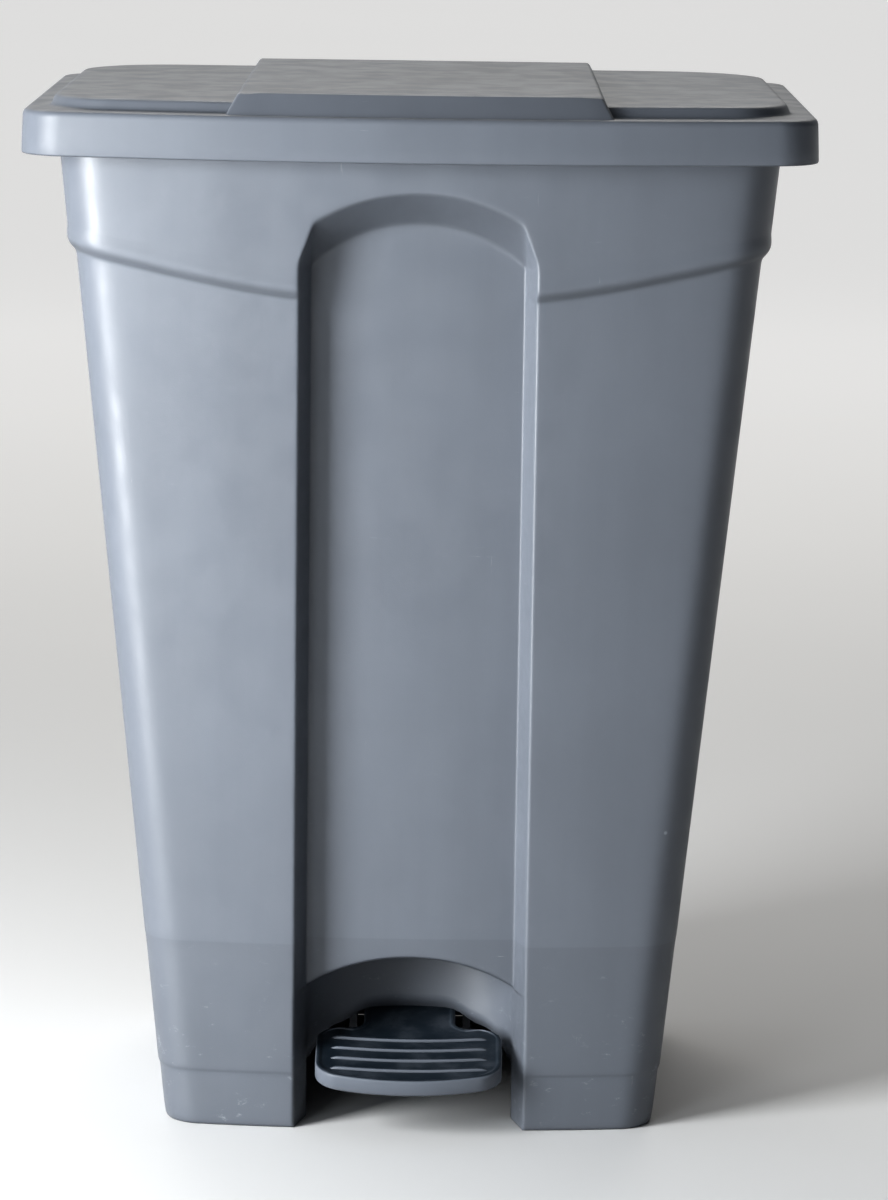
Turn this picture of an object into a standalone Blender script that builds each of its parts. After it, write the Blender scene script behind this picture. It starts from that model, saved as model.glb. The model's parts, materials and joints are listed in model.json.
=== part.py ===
"""A step-on pedal bin: tapered plastic body, hinged lid, and the lever and rod between pedal and lid.

Frame: metres, +Z up, origin on the ground under the middle of the bin, the front facing -Y.
"""

import math

import bmesh
import bpy
from mathutils import Euler, Matrix, Vector

MM = 0.001

# Driving dimensions, in millimetres.
WALL = 3.0
GAP = 0.3
FRONT_BOW = 1100.0

BASE_HALF_WIDTH = 161.0
SIDE_SLOPE = 0.0985
BASE_FRONT = -149.0
FRONT_SLOPE = 0.0479
BASE_REAR = 150.0
REAR_SLOPE = 0.035
CORNER_RADIUS = 28.0

PLINTH_TOP = 37.0
PLINTH_STEP = 1.2
FOOT_ROUND = 3.0
FOOT_FLANGE = 12.0
FOOT_FLANGE_THICKNESS = 4.0
FLOOR_TOP = 124.0

COLLAR_PROUD = 3.2
LIP_LOW = 545.0
LIP_HIGH = 571.0
LIP_TURN_Y = -120.0
COLLAR_TOP = 643.0
RIM_BOTTOM = 647.0
RIM_TOP = 652.0
RIM_HALF_WIDTH = 245.0
RIM_FRONT = -200.0
RIM_REAR = 190.0

RECESS_DEPTH = 22.0
RECESS_HALF_FRONT = 74.5
RECESS_HALF_BACK = 67.5
ARCH_SPRING_FRONT = 592.0
ARCH_CROWN_FRONT = 612.0
ARCH_SPRING_BACK = 564.0
ARCH_CROWN_BACK = 591.0
NICHE_SPRING = 91.0
NICHE_CROWN = 111.0
NICHE_SHOULDER_Y = -122.0
NICHE_BACK_Y = -78.0
CHANNEL_HALF = 22.0
CHANNEL_DEPTH = 26.0
CHANNEL_BOTTOM = 112.0

LID_HALF_WIDTH = 250.0
LID_FRONT = -205.0
LID_REAR = 195.0
LID_WALL = 2.5
LID_SKIRT_BOTTOM = 632.0
LID_RIM_TOP = 660.0
LID_PLATEAU_TOP = 667.0
LID_LEDGE = 17.0
HUMP_TOP = 673.0
HUMP_BOX_BASE = (121.0, -203.5, 176.0)
HUMP_BOX_TOP = (113.0, -187.0, 166.0)

HINGE_Y = 196.0
HINGE_Z = 636.0
HINGE_RADIUS = 9.0
HINGE_X = 114.0
PIN_RADIUS = 2.5
PIN_CLEARANCE = 0.4
LID_OPEN = math.radians(70.0)
LIFT_ARM_Y = 30.5
CHEEK_HALF_DEPTH = 8.0
CHEEK_BACK_TOP = 655.0

AXLE_Y = -55.0
AXLE_Z = 42.0
AXLE_RADIUS = 4.0
PEDAL_TIP_Y = -181.0
PEDAL_TIP_Z = 42.0
PEDAL_SLOPE = math.radians(12.6)
PEDAL_THICKNESS = 11.0
PEDAL_SKIN = 4.0
PEDAL_HALF_WIDTH = 60.5
NECK_HALF_WIDTH = 30.0
NECK_END = 124.0
TREAD_RIBS = 4

LEVER_HALF_WIDTH = 13.0
LEVER_HALF_HEIGHT = 11.0
LEVER_SHEET = 2.5
LEVER_FRONT = -48.0
LEVER_REACH = 200.0
ROD_FOOT_Y = 139.0
ROD_FOOT_Z = 35.0
ROD_RADIUS = 3.0

PARTS = "pedal_bin"
CUTTERS = "pedal_bin_cutters"


def clear_scene():
    for obj in list(bpy.data.objects):
        bpy.data.objects.remove(obj, do_unlink=True)


def collection(name):
    found = bpy.data.collections.get(name)
    if found is None:
        found = bpy.data.collections.new(name)
        bpy.context.scene.collection.children.link(found)
    return found


def material(name, colour, roughness, metallic=0.0):
    found = bpy.data.materials.get(name)
    if found is None:
        found = bpy.data.materials.new(name)
        found.use_nodes = True
        shader = found.node_tree.nodes["Principled BSDF"]
        shader.inputs["Base Color"].default_value = (*colour, 1.0)
        shader.inputs["Roughness"].default_value = roughness
        shader.inputs["Metallic"].default_value = metallic
    return found


def body_plastic():
    return material("body_plastic", (0.25, 0.27, 0.31), 0.45)


def lid_plastic():
    return material("lid_plastic", (0.24, 0.26, 0.30), 0.42)


def pedal_plastic():
    return material("pedal_plastic", (0.10, 0.12, 0.15), 0.40)


def guide_nylon():
    return material("guide_nylon", (0.08, 0.08, 0.09), 0.50)


def buffer_rubber():
    return material("buffer_rubber", (0.03, 0.03, 0.03), 0.80)


def zinc_steel():
    return material("zinc_steel", (0.55, 0.56, 0.58), 0.32, 1.0)


def pin_steel():
    return material("pin_steel", (0.60, 0.60, 0.62), 0.25, 1.0)


def add_mesh(name, bm, finish=None, smooth=30.0):
    """A new object from a bmesh in metres: a part when it has a finish, otherwise a cutter."""
    mesh = bpy.data.meshes.new(name)
    bm.to_mesh(mesh)
    bm.free()
    obj = bpy.data.objects.new(name, mesh)
    place(obj, finish)
    if finish is not None:
        mesh.shade_smooth()
        mesh.set_sharp_from_angle(angle=math.radians(smooth))
    return obj


def place(obj, finish):
    if finish is None:
        collection(CUTTERS).objects.link(obj)
        obj.hide_render = True
        obj.display_type = "WIRE"
        return
    collection(PARTS).objects.link(obj)
    obj.data.materials.append(finish)


def move_origin(obj, x, y, z):
    """Puts the object's origin at a point given in millimetres, leaving its shape where it is."""
    point = Vector((x, y, z)) * MM
    obj.data.transform(Matrix.Translation(-point))
    obj.location = point
    return obj


def boolean(target, other, operation):
    step = target.modifiers.new(f"{operation.lower()} {other.name}", "BOOLEAN")
    step.operation = operation
    step.object = other
    step.solver = "EXACT"
    return target


def cut(target, *cutters):
    for cutter in cutters:
        boolean(target, cutter, "DIFFERENCE")
    return target


def join(target, *others):
    for other in others:
        boolean(target, other, "UNION")
    return target


def loft(name, rings, finish=None, smooth=30.0):
    """A closed solid through rings of equal point counts, each anticlockwise seen from above."""
    bm = bmesh.new()
    layers = [[bm.verts.new(Vector(point) * MM) for point in ring] for ring in rings]
    count = len(layers[0])
    for low, high in zip(layers, layers[1:]):
        for i in range(count):
            j = (i + 1) % count
            bm.faces.new((low[i], low[j], high[j], high[i]))
    bm.faces.new(reversed(layers[0]))
    bm.faces.new(layers[-1])
    bmesh.ops.recalc_face_normals(bm, faces=bm.faces)
    bmesh.ops.triangulate(bm, faces=bm.faces)
    return add_mesh(name, bm, finish, smooth)


def box(name, low, high, finish=None, tilt=0.0, pivot=(0.0, 0.0, 0.0)):
    """A box between two corners in millimetres, tilted about an X axis through a pivot."""
    low, high, pivot = Vector(low), Vector(high), Vector(pivot)
    bm = bmesh.new()
    bmesh.ops.create_cube(bm, size=1.0)
    middle = (low + high) / 2
    size = high - low
    turn = Matrix.Rotation(tilt, 4, "X")
    for vert in bm.verts:
        point = Vector(c * s for c, s in zip(vert.co, size)) + middle
        vert.co = (turn @ (point - pivot) + pivot) * MM
    return add_mesh(name, bm, finish)


def rod(name, radius, start, end, finish=None, segments=16):
    """A plain cylinder between two points in millimetres."""
    start, end = Vector(start), Vector(end)
    bm = bmesh.new()
    bmesh.ops.create_cone(
        bm,
        cap_ends=True,
        segments=segments,
        radius1=radius * MM,
        radius2=radius * MM,
        depth=(end - start).length * MM,
    )
    turn = Vector((0, 0, 1)).rotation_difference(end - start).to_matrix().to_4x4()
    bm.transform(Matrix.Translation((start + end) / 2 * MM) @ turn)
    return add_mesh(name, bm, finish)


def turned(name, profile, centre, direction, finish, steps=20):
    """A turned piece: (radius, height) points from its top down its outer side, about a direction."""
    bm = bmesh.new()
    verts = [bm.verts.new((radius * MM, 0.0, height * MM)) for radius, height in profile]
    for a, b in zip(verts, verts[1:]):
        bm.edges.new((a, b))
    obj = add_mesh(name, bm, finish)
    screw = obj.modifiers.new("turn", "SCREW")
    screw.steps = steps
    screw.render_steps = steps
    screw.use_merge_vertices = True
    screw.merge_threshold = 1e-5
    turn = Vector((0, 0, 1)).rotation_difference(Vector(direction))
    obj.rotation_euler = turn.to_euler()
    obj.location = Vector(centre) * MM
    return obj


def prism(name, outline, low, high, finish=None, axis="Z"):
    """An outline given as (a, b) points, filled and extruded between two levels along an axis."""
    bm = bmesh.new()
    if axis == "Z":
        points = [(a, b, low) for a, b in outline]
    else:
        points = [(a, low, b) for a, b in outline]
    face = bm.faces.new([bm.verts.new(Vector(point) * MM) for point in points])
    moved = bmesh.ops.extrude_face_region(bm, geom=[face])
    step = (0, 0, (high - low) * MM) if axis == "Z" else (0, (high - low) * MM, 0)
    new_verts = [item for item in moved["geom"] if isinstance(item, bmesh.types.BMVert)]
    bmesh.ops.translate(bm, vec=step, verts=new_verts)
    bmesh.ops.recalc_face_normals(bm, faces=bm.faces)
    return add_mesh(name, bm, finish)


def arc(centre, radius, start, end, count):
    """Points along an arc, in degrees, both ends included."""
    for i in range(count + 1):
        angle = math.radians(start + (end - start) * i / count)
        yield centre[0] + radius * math.cos(angle), centre[1] + radius * math.sin(angle)


def line(start, end, count):
    """Points after the start of a straight stretch, up to and without its end."""
    for i in range(1, count):
        part = i / count
        yield start[0] + (end[0] - start[0]) * part, start[1] + (end[1] - start[1]) * part


def mirrored(right):
    """A whole outline from its right half, which runs from the front centre to the rear centre."""
    return right + [(-x, y) for x, y in reversed(right[1:-1])]


def plan(half, front, rear, radius, rear_radius=None, bow=FRONT_BOW):
    """A rounded rectangle with a bowed front, as (x, y) points anticlockwise from the front centre."""
    rear_radius = radius if rear_radius is None else rear_radius
    tangent_x = half - radius
    for _ in range(8):
        lean = math.atan(tangent_x / bow)
        tangent_x = half - radius * (1 - math.sin(lean))
    steps = 7
    right = [(tangent_x * i / steps, front + (tangent_x * i / steps) ** 2 / (2 * bow)) for i in range(steps)]
    tangent_y = front + tangent_x**2 / (2 * bow)
    corner = (tangent_x - radius * math.sin(lean), tangent_y + radius * math.cos(lean))
    right += arc(corner, radius, -90 + math.degrees(lean), 0, 5)
    right += line((half, corner[1]), (half, rear - rear_radius), 5)
    right += arc((half - rear_radius, rear - rear_radius), rear_radius, 0, 90, 5)
    right += [(0.0, rear)]
    return mirrored(right)


def body_plan(z, grow=0.0):
    """The body's outline at a height, grown outwards by a distance."""
    return plan(
        BASE_HALF_WIDTH + SIDE_SLOPE * z + grow,
        BASE_FRONT - FRONT_SLOPE * z - grow,
        BASE_REAR + REAR_SLOPE * z + grow,
        CORNER_RADIUS + grow,
    )


def body_ring(z, grow=0.0):
    return [(x, y, z) for x, y in body_plan(z, grow)]


def lip_height(x, y):
    """The collar's lower edge: highest at the front corners, lower at the recess and at the back."""
    if y < LIP_TURN_Y:
        part = (abs(x) - RECESS_HALF_FRONT) / (212.0 - RECESS_HALF_FRONT)
        return LIP_LOW + (LIP_HIGH - LIP_LOW) * min(max(part, 0.0), 1.0) ** 1.3
    part = min((y - LIP_TURN_Y) / 270.0, 1.0)
    return LIP_HIGH - (LIP_HIGH - LIP_LOW) * part * part * (3 - 2 * part)


def lip_ring(rise, grow):
    """A ring that follows the collar's lower edge, at a rise above it."""
    heights = [lip_height(x, y) + rise for x, y in body_plan(LIP_LOW)]
    points = []
    for i, z in enumerate(heights):
        x, y = body_plan(z, grow)[i]
        points.append((x, y, z))
    return points


def rim_ring(z, inset=0.0):
    outline = plan(RIM_HALF_WIDTH - inset, RIM_FRONT + inset, RIM_REAR - inset, 34.0 - inset)
    return [(x, y, z) for x, y in outline]


def arch_outline(half, spring, crown, bottom):
    """A doorway shape as (x, z) points: straight sides and a circular head, 13 segments round."""
    rise = crown - spring
    radius = (half**2 + rise**2) / (2 * rise)
    lean = math.degrees(math.asin(half / radius))
    head = list(arc((0.0, crown - radius), radius, 90 - lean, 90 + lean, 13))
    return [(half, bottom)] + head + [(-half, bottom)]


def recess_cutter(name, grow):
    """The front recess, which narrows from the front face to its own flat back."""
    front = arch_outline(RECESS_HALF_FRONT + grow, ARCH_SPRING_FRONT, ARCH_CROWN_FRONT + grow, -10.0)
    back = arch_outline(RECESS_HALF_BACK + grow, ARCH_SPRING_BACK, ARCH_CROWN_BACK + grow, -10.0)
    rings = []
    for outline, depth in ((front, -60.0), (front, -COLLAR_PROUD - 1.0), (back, RECESS_DEPTH + grow)):
        rings.append([(x, BASE_FRONT - FRONT_SLOPE * z + depth, z) for x, z in outline])
    return loft(name, rings)


def niche_cutter(name, grow):
    """The toe space: a doorway that runs back to a rounded wall."""
    half = RECESS_HALF_BACK + grow
    depth = NICHE_BACK_Y - NICHE_SHOULDER_Y + grow
    right = [(0.0, -240.0), (half, -240.0)]
    for i in range(11):
        angle = math.pi / 2 * i / 10
        right.append((half * math.cos(angle), NICHE_SHOULDER_Y + depth * math.sin(angle)))
    right[-1] = (0.0, right[-1][1])
    toe = prism(name, mirrored(right), -10.0, FLOOR_TOP)
    door = arch_outline(half, NICHE_SPRING, NICHE_CROWN + grow, -20.0)
    return boolean(toe, prism(f"{name}_door", door, -250.0, -50.0, axis="Y"), "INTERSECT")


def channel_cutter(name, grow, bottom):
    """The channel down the back wall that the push rod runs in."""
    half = CHANNEL_HALF + grow
    rings = []
    for z in (bottom, RIM_TOP + 20.0):
        back = BASE_REAR + REAR_SLOPE * z - CHANNEL_DEPTH - grow
        rings.append([(-half, back, z), (half, back, z), (half, 260.0, z), (-half, 260.0, z)])
    return loft(name, rings)


def pedal_opening():
    """The hole in the toe space's wall that the pedal's neck passes through."""
    right = [(66.0, -10.0), (66.0, 36.0), (60.0, 50.0), (48.0, 57.0)]
    right += [(39.0, 59.0), (35.0, 63.0), (34.0, 69.0)]
    outline = right + [(-x, z) for x, z in reversed(right)]
    return prism("cut_pedal_opening", outline, -119.0, -60.0, axis="Y")


def inside_cutter():
    """The space for rubbish, clear of the recess and of the rod channel."""
    rings = [body_ring(FLOOR_TOP, -WALL), body_ring(560.0, -WALL), body_ring(RIM_TOP + 5.0, 0.0)]
    inside = loft("cut_inside", rings)
    return cut(inside, recess_cutter("cut_recess_wall", WALL), channel_cutter("cut_channel_wall", WALL, 90.0))


def under_floor_cutter():
    """The space for the mechanism, open at the ground inside a narrow foot flange."""
    ceiling = FLOOR_TOP - WALL
    rings = [
        body_ring(-1.0, -FOOT_FLANGE),
        body_ring(FOOT_FLANGE_THICKNESS, -FOOT_FLANGE),
        body_ring(FOOT_FLANGE_THICKNESS + 0.5, -WALL - PLINTH_STEP),
        body_ring(ceiling, -WALL),
    ]
    hollow = loft("cut_under_floor", rings)
    return cut(hollow, recess_cutter("cut_recess_wall_low", WALL), niche_cutter("cut_niche_wall", WALL))


def hinge_lugs():
    """Four ears behind the back wall that hold the hinge pins, as (low x, high x) pairs."""
    for side in (-1, 1):
        for offset in (-15.0, 15.0):
            middle = side * (HINGE_X + offset)
            yield middle - 4.0, middle + 4.0


def bin_body():
    rings = [
        body_ring(0.0, -FOOT_ROUND - PLINTH_STEP),
        body_ring(FOOT_ROUND, -PLINTH_STEP),
        body_ring(PLINTH_TOP, -PLINTH_STEP),
        body_ring(PLINTH_TOP + 2.0),
        lip_ring(-2.0, 0.0),
        lip_ring(0.0, COLLAR_PROUD * 0.7),
        lip_ring(4.0, COLLAR_PROUD),
        body_ring(COLLAR_TOP, COLLAR_PROUD),
        rim_ring(RIM_BOTTOM, 1.0),
        rim_ring(RIM_BOTTOM + 1.0),
        rim_ring(RIM_TOP - 1.0),
        rim_ring(RIM_TOP, 1.0),
    ]
    body = loft("bin_body", rings, body_plastic())
    for number, (low, high) in enumerate(hinge_lugs()):
        ear = box(f"ear_{number}", (low, 167.0, HINGE_Z - HINGE_RADIUS + 0.6), (high, HINGE_Y, HINGE_Z + 8.4))
        neck = box(f"ear_neck_{number}", (low, 166.0, HINGE_Z - 4.0), (high, 188.5, RIM_BOTTOM + 2.0))
        end = rod(f"ear_end_{number}", HINGE_RADIUS - 0.4, (low, HINGE_Y, HINGE_Z), (high, HINGE_Y, HINGE_Z))
        join(body, ear, neck, end)
    cut(body, recess_cutter("cut_recess", 0.0), niche_cutter("cut_niche", 0.0))
    cut(body, channel_cutter("cut_channel", 0.0, CHANNEL_BOTTOM), inside_cutter(), under_floor_cutter())
    cut(body, pedal_opening())
    for side in (-1, 1):
        reach = (side * (HINGE_X - 25.0), side * (HINGE_X + 25.0))
        start, end = ((x, HINGE_Y, HINGE_Z) for x in reach)
        cut(body, rod(f"cut_hinge_{side}", PIN_RADIUS + PIN_CLEARANCE, start, end))
    for number, (x, y) in enumerate(bracket_rivet_places()):
        cut(body, rod(f"cut_floor_rivet_{number}", 2.6, (x, y, 110.0), (x, y, 130.0), segments=12))
    for number, (x, y, z) in enumerate(guide_rivet_places()):
        cut(body, rod(f"cut_wall_rivet_{number}", 2.4, (x, y - 8.0, z), (x, y + 5.0, z), segments=12))
    return body


def lid_ring(z, inset, front_radius=33.0, rear_radius=33.0):
    outline = plan(LID_HALF_WIDTH - inset, LID_FRONT + inset, LID_REAR - inset, front_radius, rear_radius)
    return [(x, y, z) for x, y in outline]


def lid_skin(name, drop, thin, finish=None):
    """The lid's outer skin, or its inner one when it is dropped and thinned by the wall."""
    ledge = LID_LEDGE + thin
    rings = [
        lid_ring(LID_SKIRT_BOTTOM - drop, thin),
        lid_ring(LID_RIM_TOP - 2.0 - drop, thin),
        lid_ring(LID_RIM_TOP - drop, thin + 2.0),
        lid_ring(LID_RIM_TOP + 1.0 - drop, ledge, 42.0, 62.0),
        lid_ring(LID_PLATEAU_TOP - 1.0 - drop, ledge + 2.0, 42.0, 62.0),
        lid_ring(LID_PLATEAU_TOP - drop, ledge + 4.0, 42.0, 62.0),
    ]
    return loft(name, rings, finish)


def lid_hump(name, drop, thin):
    """The flat raised panel down the middle of the lid, its front bowed like the rim's."""
    rings = []
    for z, (half, front, rear) in ((LID_RIM_TOP - 5.0, HUMP_BOX_BASE), (HUMP_TOP, HUMP_BOX_TOP)):
        half, front, rear = half - thin, front + thin, rear - thin
        bowed = [(half * i / 4, front + (half * i / 4) ** 2 / (2 * FRONT_BOW)) for i in range(-4, 5)]
        rings.append([(x, y, z - drop) for x, y in [*bowed, (half, rear), (-half, rear)]])
    return loft(name, rings)


def lift_pin_place():
    """The push rod's pin on the lid, level with where it ends up when the lid is open."""
    return HINGE_Y - LIFT_ARM_Y, HINGE_Z - LIFT_ARM_Y * math.tan(LID_OPEN / 2)


def lid():
    cover = join(lid_skin("lid", 0.0, 0.0, lid_plastic()), lid_hump("lid_hump", 0.0, 0.0))
    inner = lid_skin("cut_lid_inner", LID_WALL + 0.5, LID_WALL)
    cut(cover, inner, lid_hump("cut_lid_hump", LID_WALL + 0.5, LID_WALL))
    pin_y, pin_z = lift_pin_place()
    for side in (-1, 1):
        middle = side * HINGE_X
        cut(cover, box(f"cut_notch_{side}", (middle - 22, 186, 620), (middle + 22, 200, 650)))
        arm = box(f"knuckle_arm_{side}", (middle - 10, 190.5, HINGE_Z), (middle + 10, 199.5, 659.0))
        ends = ((middle - 10, HINGE_Y, HINGE_Z), (middle + 10, HINGE_Y, HINGE_Z))
        join(cover, arm, rod(f"knuckle_{side}", HINGE_RADIUS, *ends, segments=20))
        ends = ((middle - 15, HINGE_Y, HINGE_Z), (middle + 15, HINGE_Y, HINGE_Z))
        cut(cover, rod(f"cut_knuckle_{side}", PIN_RADIUS + PIN_CLEARANCE, *ends))
        low, high = sorted((side * 7.0, side * 12.0))
        front, rear = pin_y - CHEEK_HALF_DEPTH, pin_y + CHEEK_HALF_DEPTH
        cheek = box(f"lift_cheek_{side}", (low, front, pin_z), (high, pin_y, HUMP_TOP - 1.5))
        back = box(f"lift_cheek_back_{side}", (low, pin_y - 1.0, pin_z), (high, rear, CHEEK_BACK_TOP))
        ends = ((low, pin_y, pin_z), (high, pin_y, pin_z))
        tip = rod(f"lift_cheek_tip_{side}", CHEEK_HALF_DEPTH - 0.2, *ends, segments=20)
        join(cover, cheek, back, tip)
    cut(cover, rod("cut_lift_pin", PIN_RADIUS + PIN_CLEARANCE, (-20, pin_y, pin_z), (20, pin_y, pin_z)))
    return move_origin(cover, 0.0, HINGE_Y, HINGE_Z)


def buffer_places():
    for side in (-1, 1):
        yield side * 150.0, -182.0
        yield side * 150.0, 181.0


def lid_buffers():
    """Soft discs under the lid that rest on the body's rim."""
    corners = ("front_left", "rear_left", "front_right", "rear_right")
    top = LID_RIM_TOP - LID_WALL - 0.5 - GAP
    foot = RIM_TOP + GAP
    profile = [(0.0, top), (5.0, top), (5.0, foot + 0.9), (4.2, foot), (0.0, foot)]
    for corner, (x, y) in zip(corners, buffer_places()):
        turned(f"lid_buffer_{corner}", profile, (x, y, 0.0), (0, 0, 1), buffer_rubber(), steps=16)


def hinge_pins():
    """Headed pins, each through two ears of the body and the knuckle between them."""
    for name, side in (("hinge_pin_left", -1), ("hinge_pin_right", 1)):
        head, shank = 21.5, 19.3
        profile = [(0.0, head), (4.0, head), (4.4, head - 0.6), (4.4, shank), (PIN_RADIUS, shank)]
        profile += [(PIN_RADIUS, -20.4), (PIN_RADIUS - 0.6, -21.0), (0.0, -21.0)]
        turned(name, profile, (side * HINGE_X, HINGE_Y, HINGE_Z), (side, 0, 0), pin_steel(), steps=16)


def pedal_point(reach, rise=0.0):
    """A point on the pedal's middle line, by its distance back from the tip and its rise off the top."""
    y = PEDAL_TIP_Y + reach * math.cos(PEDAL_SLOPE) - rise * math.sin(PEDAL_SLOPE)
    z = PEDAL_TIP_Z + reach * math.sin(PEDAL_SLOPE) + rise * math.cos(PEDAL_SLOPE)
    return y, z


def pedal_outline(inset=0.0):
    """The pedal from above, as (x, reach) points: a D-shaped pad, shoulders and a narrower neck."""
    half, neck = PEDAL_HALF_WIDTH - inset, NECK_HALF_WIDTH - inset
    right = [(0.0, inset), (22.0, 1.2 + inset), (40.0, 5.0 + inset)]
    right += arc((half - 20.0, 26.0), 20.0, -66, 0, 5)
    right += line((half, 26.0), (half, 60.0), 2)
    right += arc((half - 14.0, 60.0), 14.0, 0, 80, 4)
    right += [(neck + 10.0, 75.5 - inset)]
    right += arc((neck + 9.0, 84.5 - inset), 9.0, 260, 180, 4)
    right += [(neck, NECK_END - inset), (0.0, NECK_END - inset)]
    return mirrored(right)


def tilt_pedal(obj):
    """Turns a shape drawn flat, with its tip at the origin, to the pedal's slope and place."""
    turn = Matrix.Rotation(PEDAL_SLOPE, 4, "X")
    place_at = Matrix.Translation(Vector((0.0, PEDAL_TIP_Y, PEDAL_TIP_Z)) * MM)
    obj.data.transform(place_at @ turn)
    return obj


def tread_rib(number):
    """One curved rib across the pad, bowed like the pad's front edge."""
    half, reach = 49.0 + min(number, 1) * 3.0 - (number == 3) * 4.0, 15.0 + 14.0 * number
    near = [(half * i / 6, reach + 4.5 * (i / 6) ** 2) for i in range(-6, 7)]
    far = [(x, y + 2.2) for x, y in reversed(near)]
    return tilt_pedal(prism(f"tread_rib_{number}", near + far, -1.0, 1.4))


def lever_top(y):
    """The height of the lever's upper face above a place along it, in millimetres."""
    lean = lever_lean()
    return AXLE_Z + LEVER_HALF_HEIGHT / math.cos(lean) + math.tan(lean) * (y - AXLE_Y)


def pedal_seat():
    """The wedge under the neck that sits on the lever."""
    low, high = [], []
    for x, y in ((-11.0, -100.0), (11.0, -100.0), (11.0, -64.0), (-11.0, -64.0)):
        low.append((x, y, lever_top(y) + GAP))
        high.append((x, y, PEDAL_TIP_Z + math.tan(PEDAL_SLOPE) * (y - PEDAL_TIP_Y) - PEDAL_SKIN / 2))
    return loft("pedal_seat", [low, high])


def pedal():
    plate = prism("pedal", pedal_outline(), -PEDAL_THICKNESS, 0.0, pedal_plastic())
    tilt_pedal(plate)
    hollow = prism("cut_pedal_pocket", pedal_outline(2.6), -PEDAL_THICKNESS - 5.0, -PEDAL_SKIN)
    pocket = tilt_pedal(hollow)
    low, high = (-40.0, -104.0, 0.0), (40.0, -40.0, 54.2)
    relief = box("cut_pedal_relief", low, high, None, lever_lean(), (0, AXLE_Y, 53.0))
    cut(plate, pocket, relief)
    join(plate, pedal_seat(), *(tread_rib(number) for number in range(TREAD_RIBS)))
    for number, y in enumerate(pedal_screw_places()):
        low, high = lever_top(y) - 4.0, lever_top(y) + 4.2 + number * 3.0
        hole = rod(f"cut_pedal_screw_{number}", 2.3, (0, y, low), (0, y, high), segments=12)
        cut(plate, hole)
    return move_origin(plate, 0.0, AXLE_Y, AXLE_Z)


def pedal_screw_places():
    return (-86.0, -70.0)


def pedal_screws():
    """Screws up through the lever's web into the pedal's seat, inside the lever."""
    names = ("pedal_screw_front", "pedal_screw_rear")
    for number, (name, y) in enumerate(zip(names, pedal_screw_places())):
        head = -LEVER_SHEET - GAP
        tip = 3.6 + number * 3.0
        profile = [(0.0, tip), (1.4, tip), (1.9, tip - 0.8), (1.9, head)]
        profile += [(4.0, head), (3.4, head - 2.4), (0.0, head - 2.4)]
        direction = Euler((lever_lean(), 0, 0)).to_matrix() @ Vector((0, 0, 1))
        turned(name, profile, (0, y, lever_top(y)), direction, zinc_steel(), steps=16)


def lever_lean():
    """The lever's slope at rest, from the axle down to the foot of the rod."""
    return math.atan2(ROD_FOOT_Z - AXLE_Z, ROD_FOOT_Y - AXLE_Y)


def lift_lever():
    lean, pivot = lever_lean(), (0.0, AXLE_Y, AXLE_Z)
    low = (-LEVER_HALF_WIDTH, AXLE_Y + LEVER_FRONT, AXLE_Z - LEVER_HALF_HEIGHT)
    high = (LEVER_HALF_WIDTH, AXLE_Y + LEVER_REACH, AXLE_Z + LEVER_HALF_HEIGHT)
    bar = box("lift_lever", low, high, zinc_steel(), lean, pivot)
    low = (LEVER_SHEET - LEVER_HALF_WIDTH, AXLE_Y + LEVER_FRONT - 10, AXLE_Z - 2 * LEVER_HALF_HEIGHT)
    ceiling = AXLE_Z + LEVER_HALF_HEIGHT - LEVER_SHEET
    high = (LEVER_HALF_WIDTH - LEVER_SHEET, AXLE_Y + LEVER_REACH + 10, ceiling)
    cut(bar, box("cut_lever_inside", low, high, None, lean, pivot))
    back = ROD_FOOT_Y - 17.0
    cut(bar, box("cut_lever_slot", (-9.0, back, 36.0), (9.0, ROD_FOOT_Y + 12.0, 60.0)))
    cut(bar, rod("cut_lever_axle", AXLE_RADIUS + PIN_CLEARANCE, (-20, AXLE_Y, AXLE_Z), (20, AXLE_Y, AXLE_Z)))
    pin = ((-20, ROD_FOOT_Y, ROD_FOOT_Z), (20, ROD_FOOT_Y, ROD_FOOT_Z))
    cut(bar, rod("cut_lever_pin", PIN_RADIUS + PIN_CLEARANCE, *pin))
    direction = Euler((lean, 0, 0)).to_matrix() @ Vector((0, 0, 1))
    for number, y in enumerate(pedal_screw_places()):
        middle = Vector((0, y, lever_top(y)))
        ends = (middle - direction * 6, middle + direction * 3)
        cut(bar, rod(f"cut_lever_screw_{number}", 2.3, *ends, segments=12))
    return move_origin(bar, 0.0, AXLE_Y, AXLE_Z)


def pedal_axle():
    half = 43.0
    profile = [(0.0, half), (AXLE_RADIUS - 0.6, half), (AXLE_RADIUS, half - 0.6)]
    profile += [(AXLE_RADIUS, 0.6 - half), (AXLE_RADIUS - 0.6, -half), (0.0, -half)]
    turned("pedal_axle", profile, (0, AXLE_Y, AXLE_Z), (1, 0, 0), pin_steel())


def axle_clips():
    """Push-on washers that keep the axle in its brackets."""
    for name, side in (("axle_clip_left", -1), ("axle_clip_right", 1)):
        clip = rod(name, 7.5, (side * 40.4, AXLE_Y, AXLE_Z), (side * 41.6, AXLE_Y, AXLE_Z), zinc_steel(), 20)
        hole = rod(f"cut_{name}", AXLE_RADIUS + GAP, (side * 38, AXLE_Y, AXLE_Z), (side * 45, AXLE_Y, AXLE_Z))
        cut(clip, hole)


def bracket_rivet_places():
    """(x, y) of the rivets through the floor, two to a bracket."""
    return [(side * 47.0, AXLE_Y + offset) for side in (-1, 1) for offset in (-8.0, 8.0)]


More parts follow.
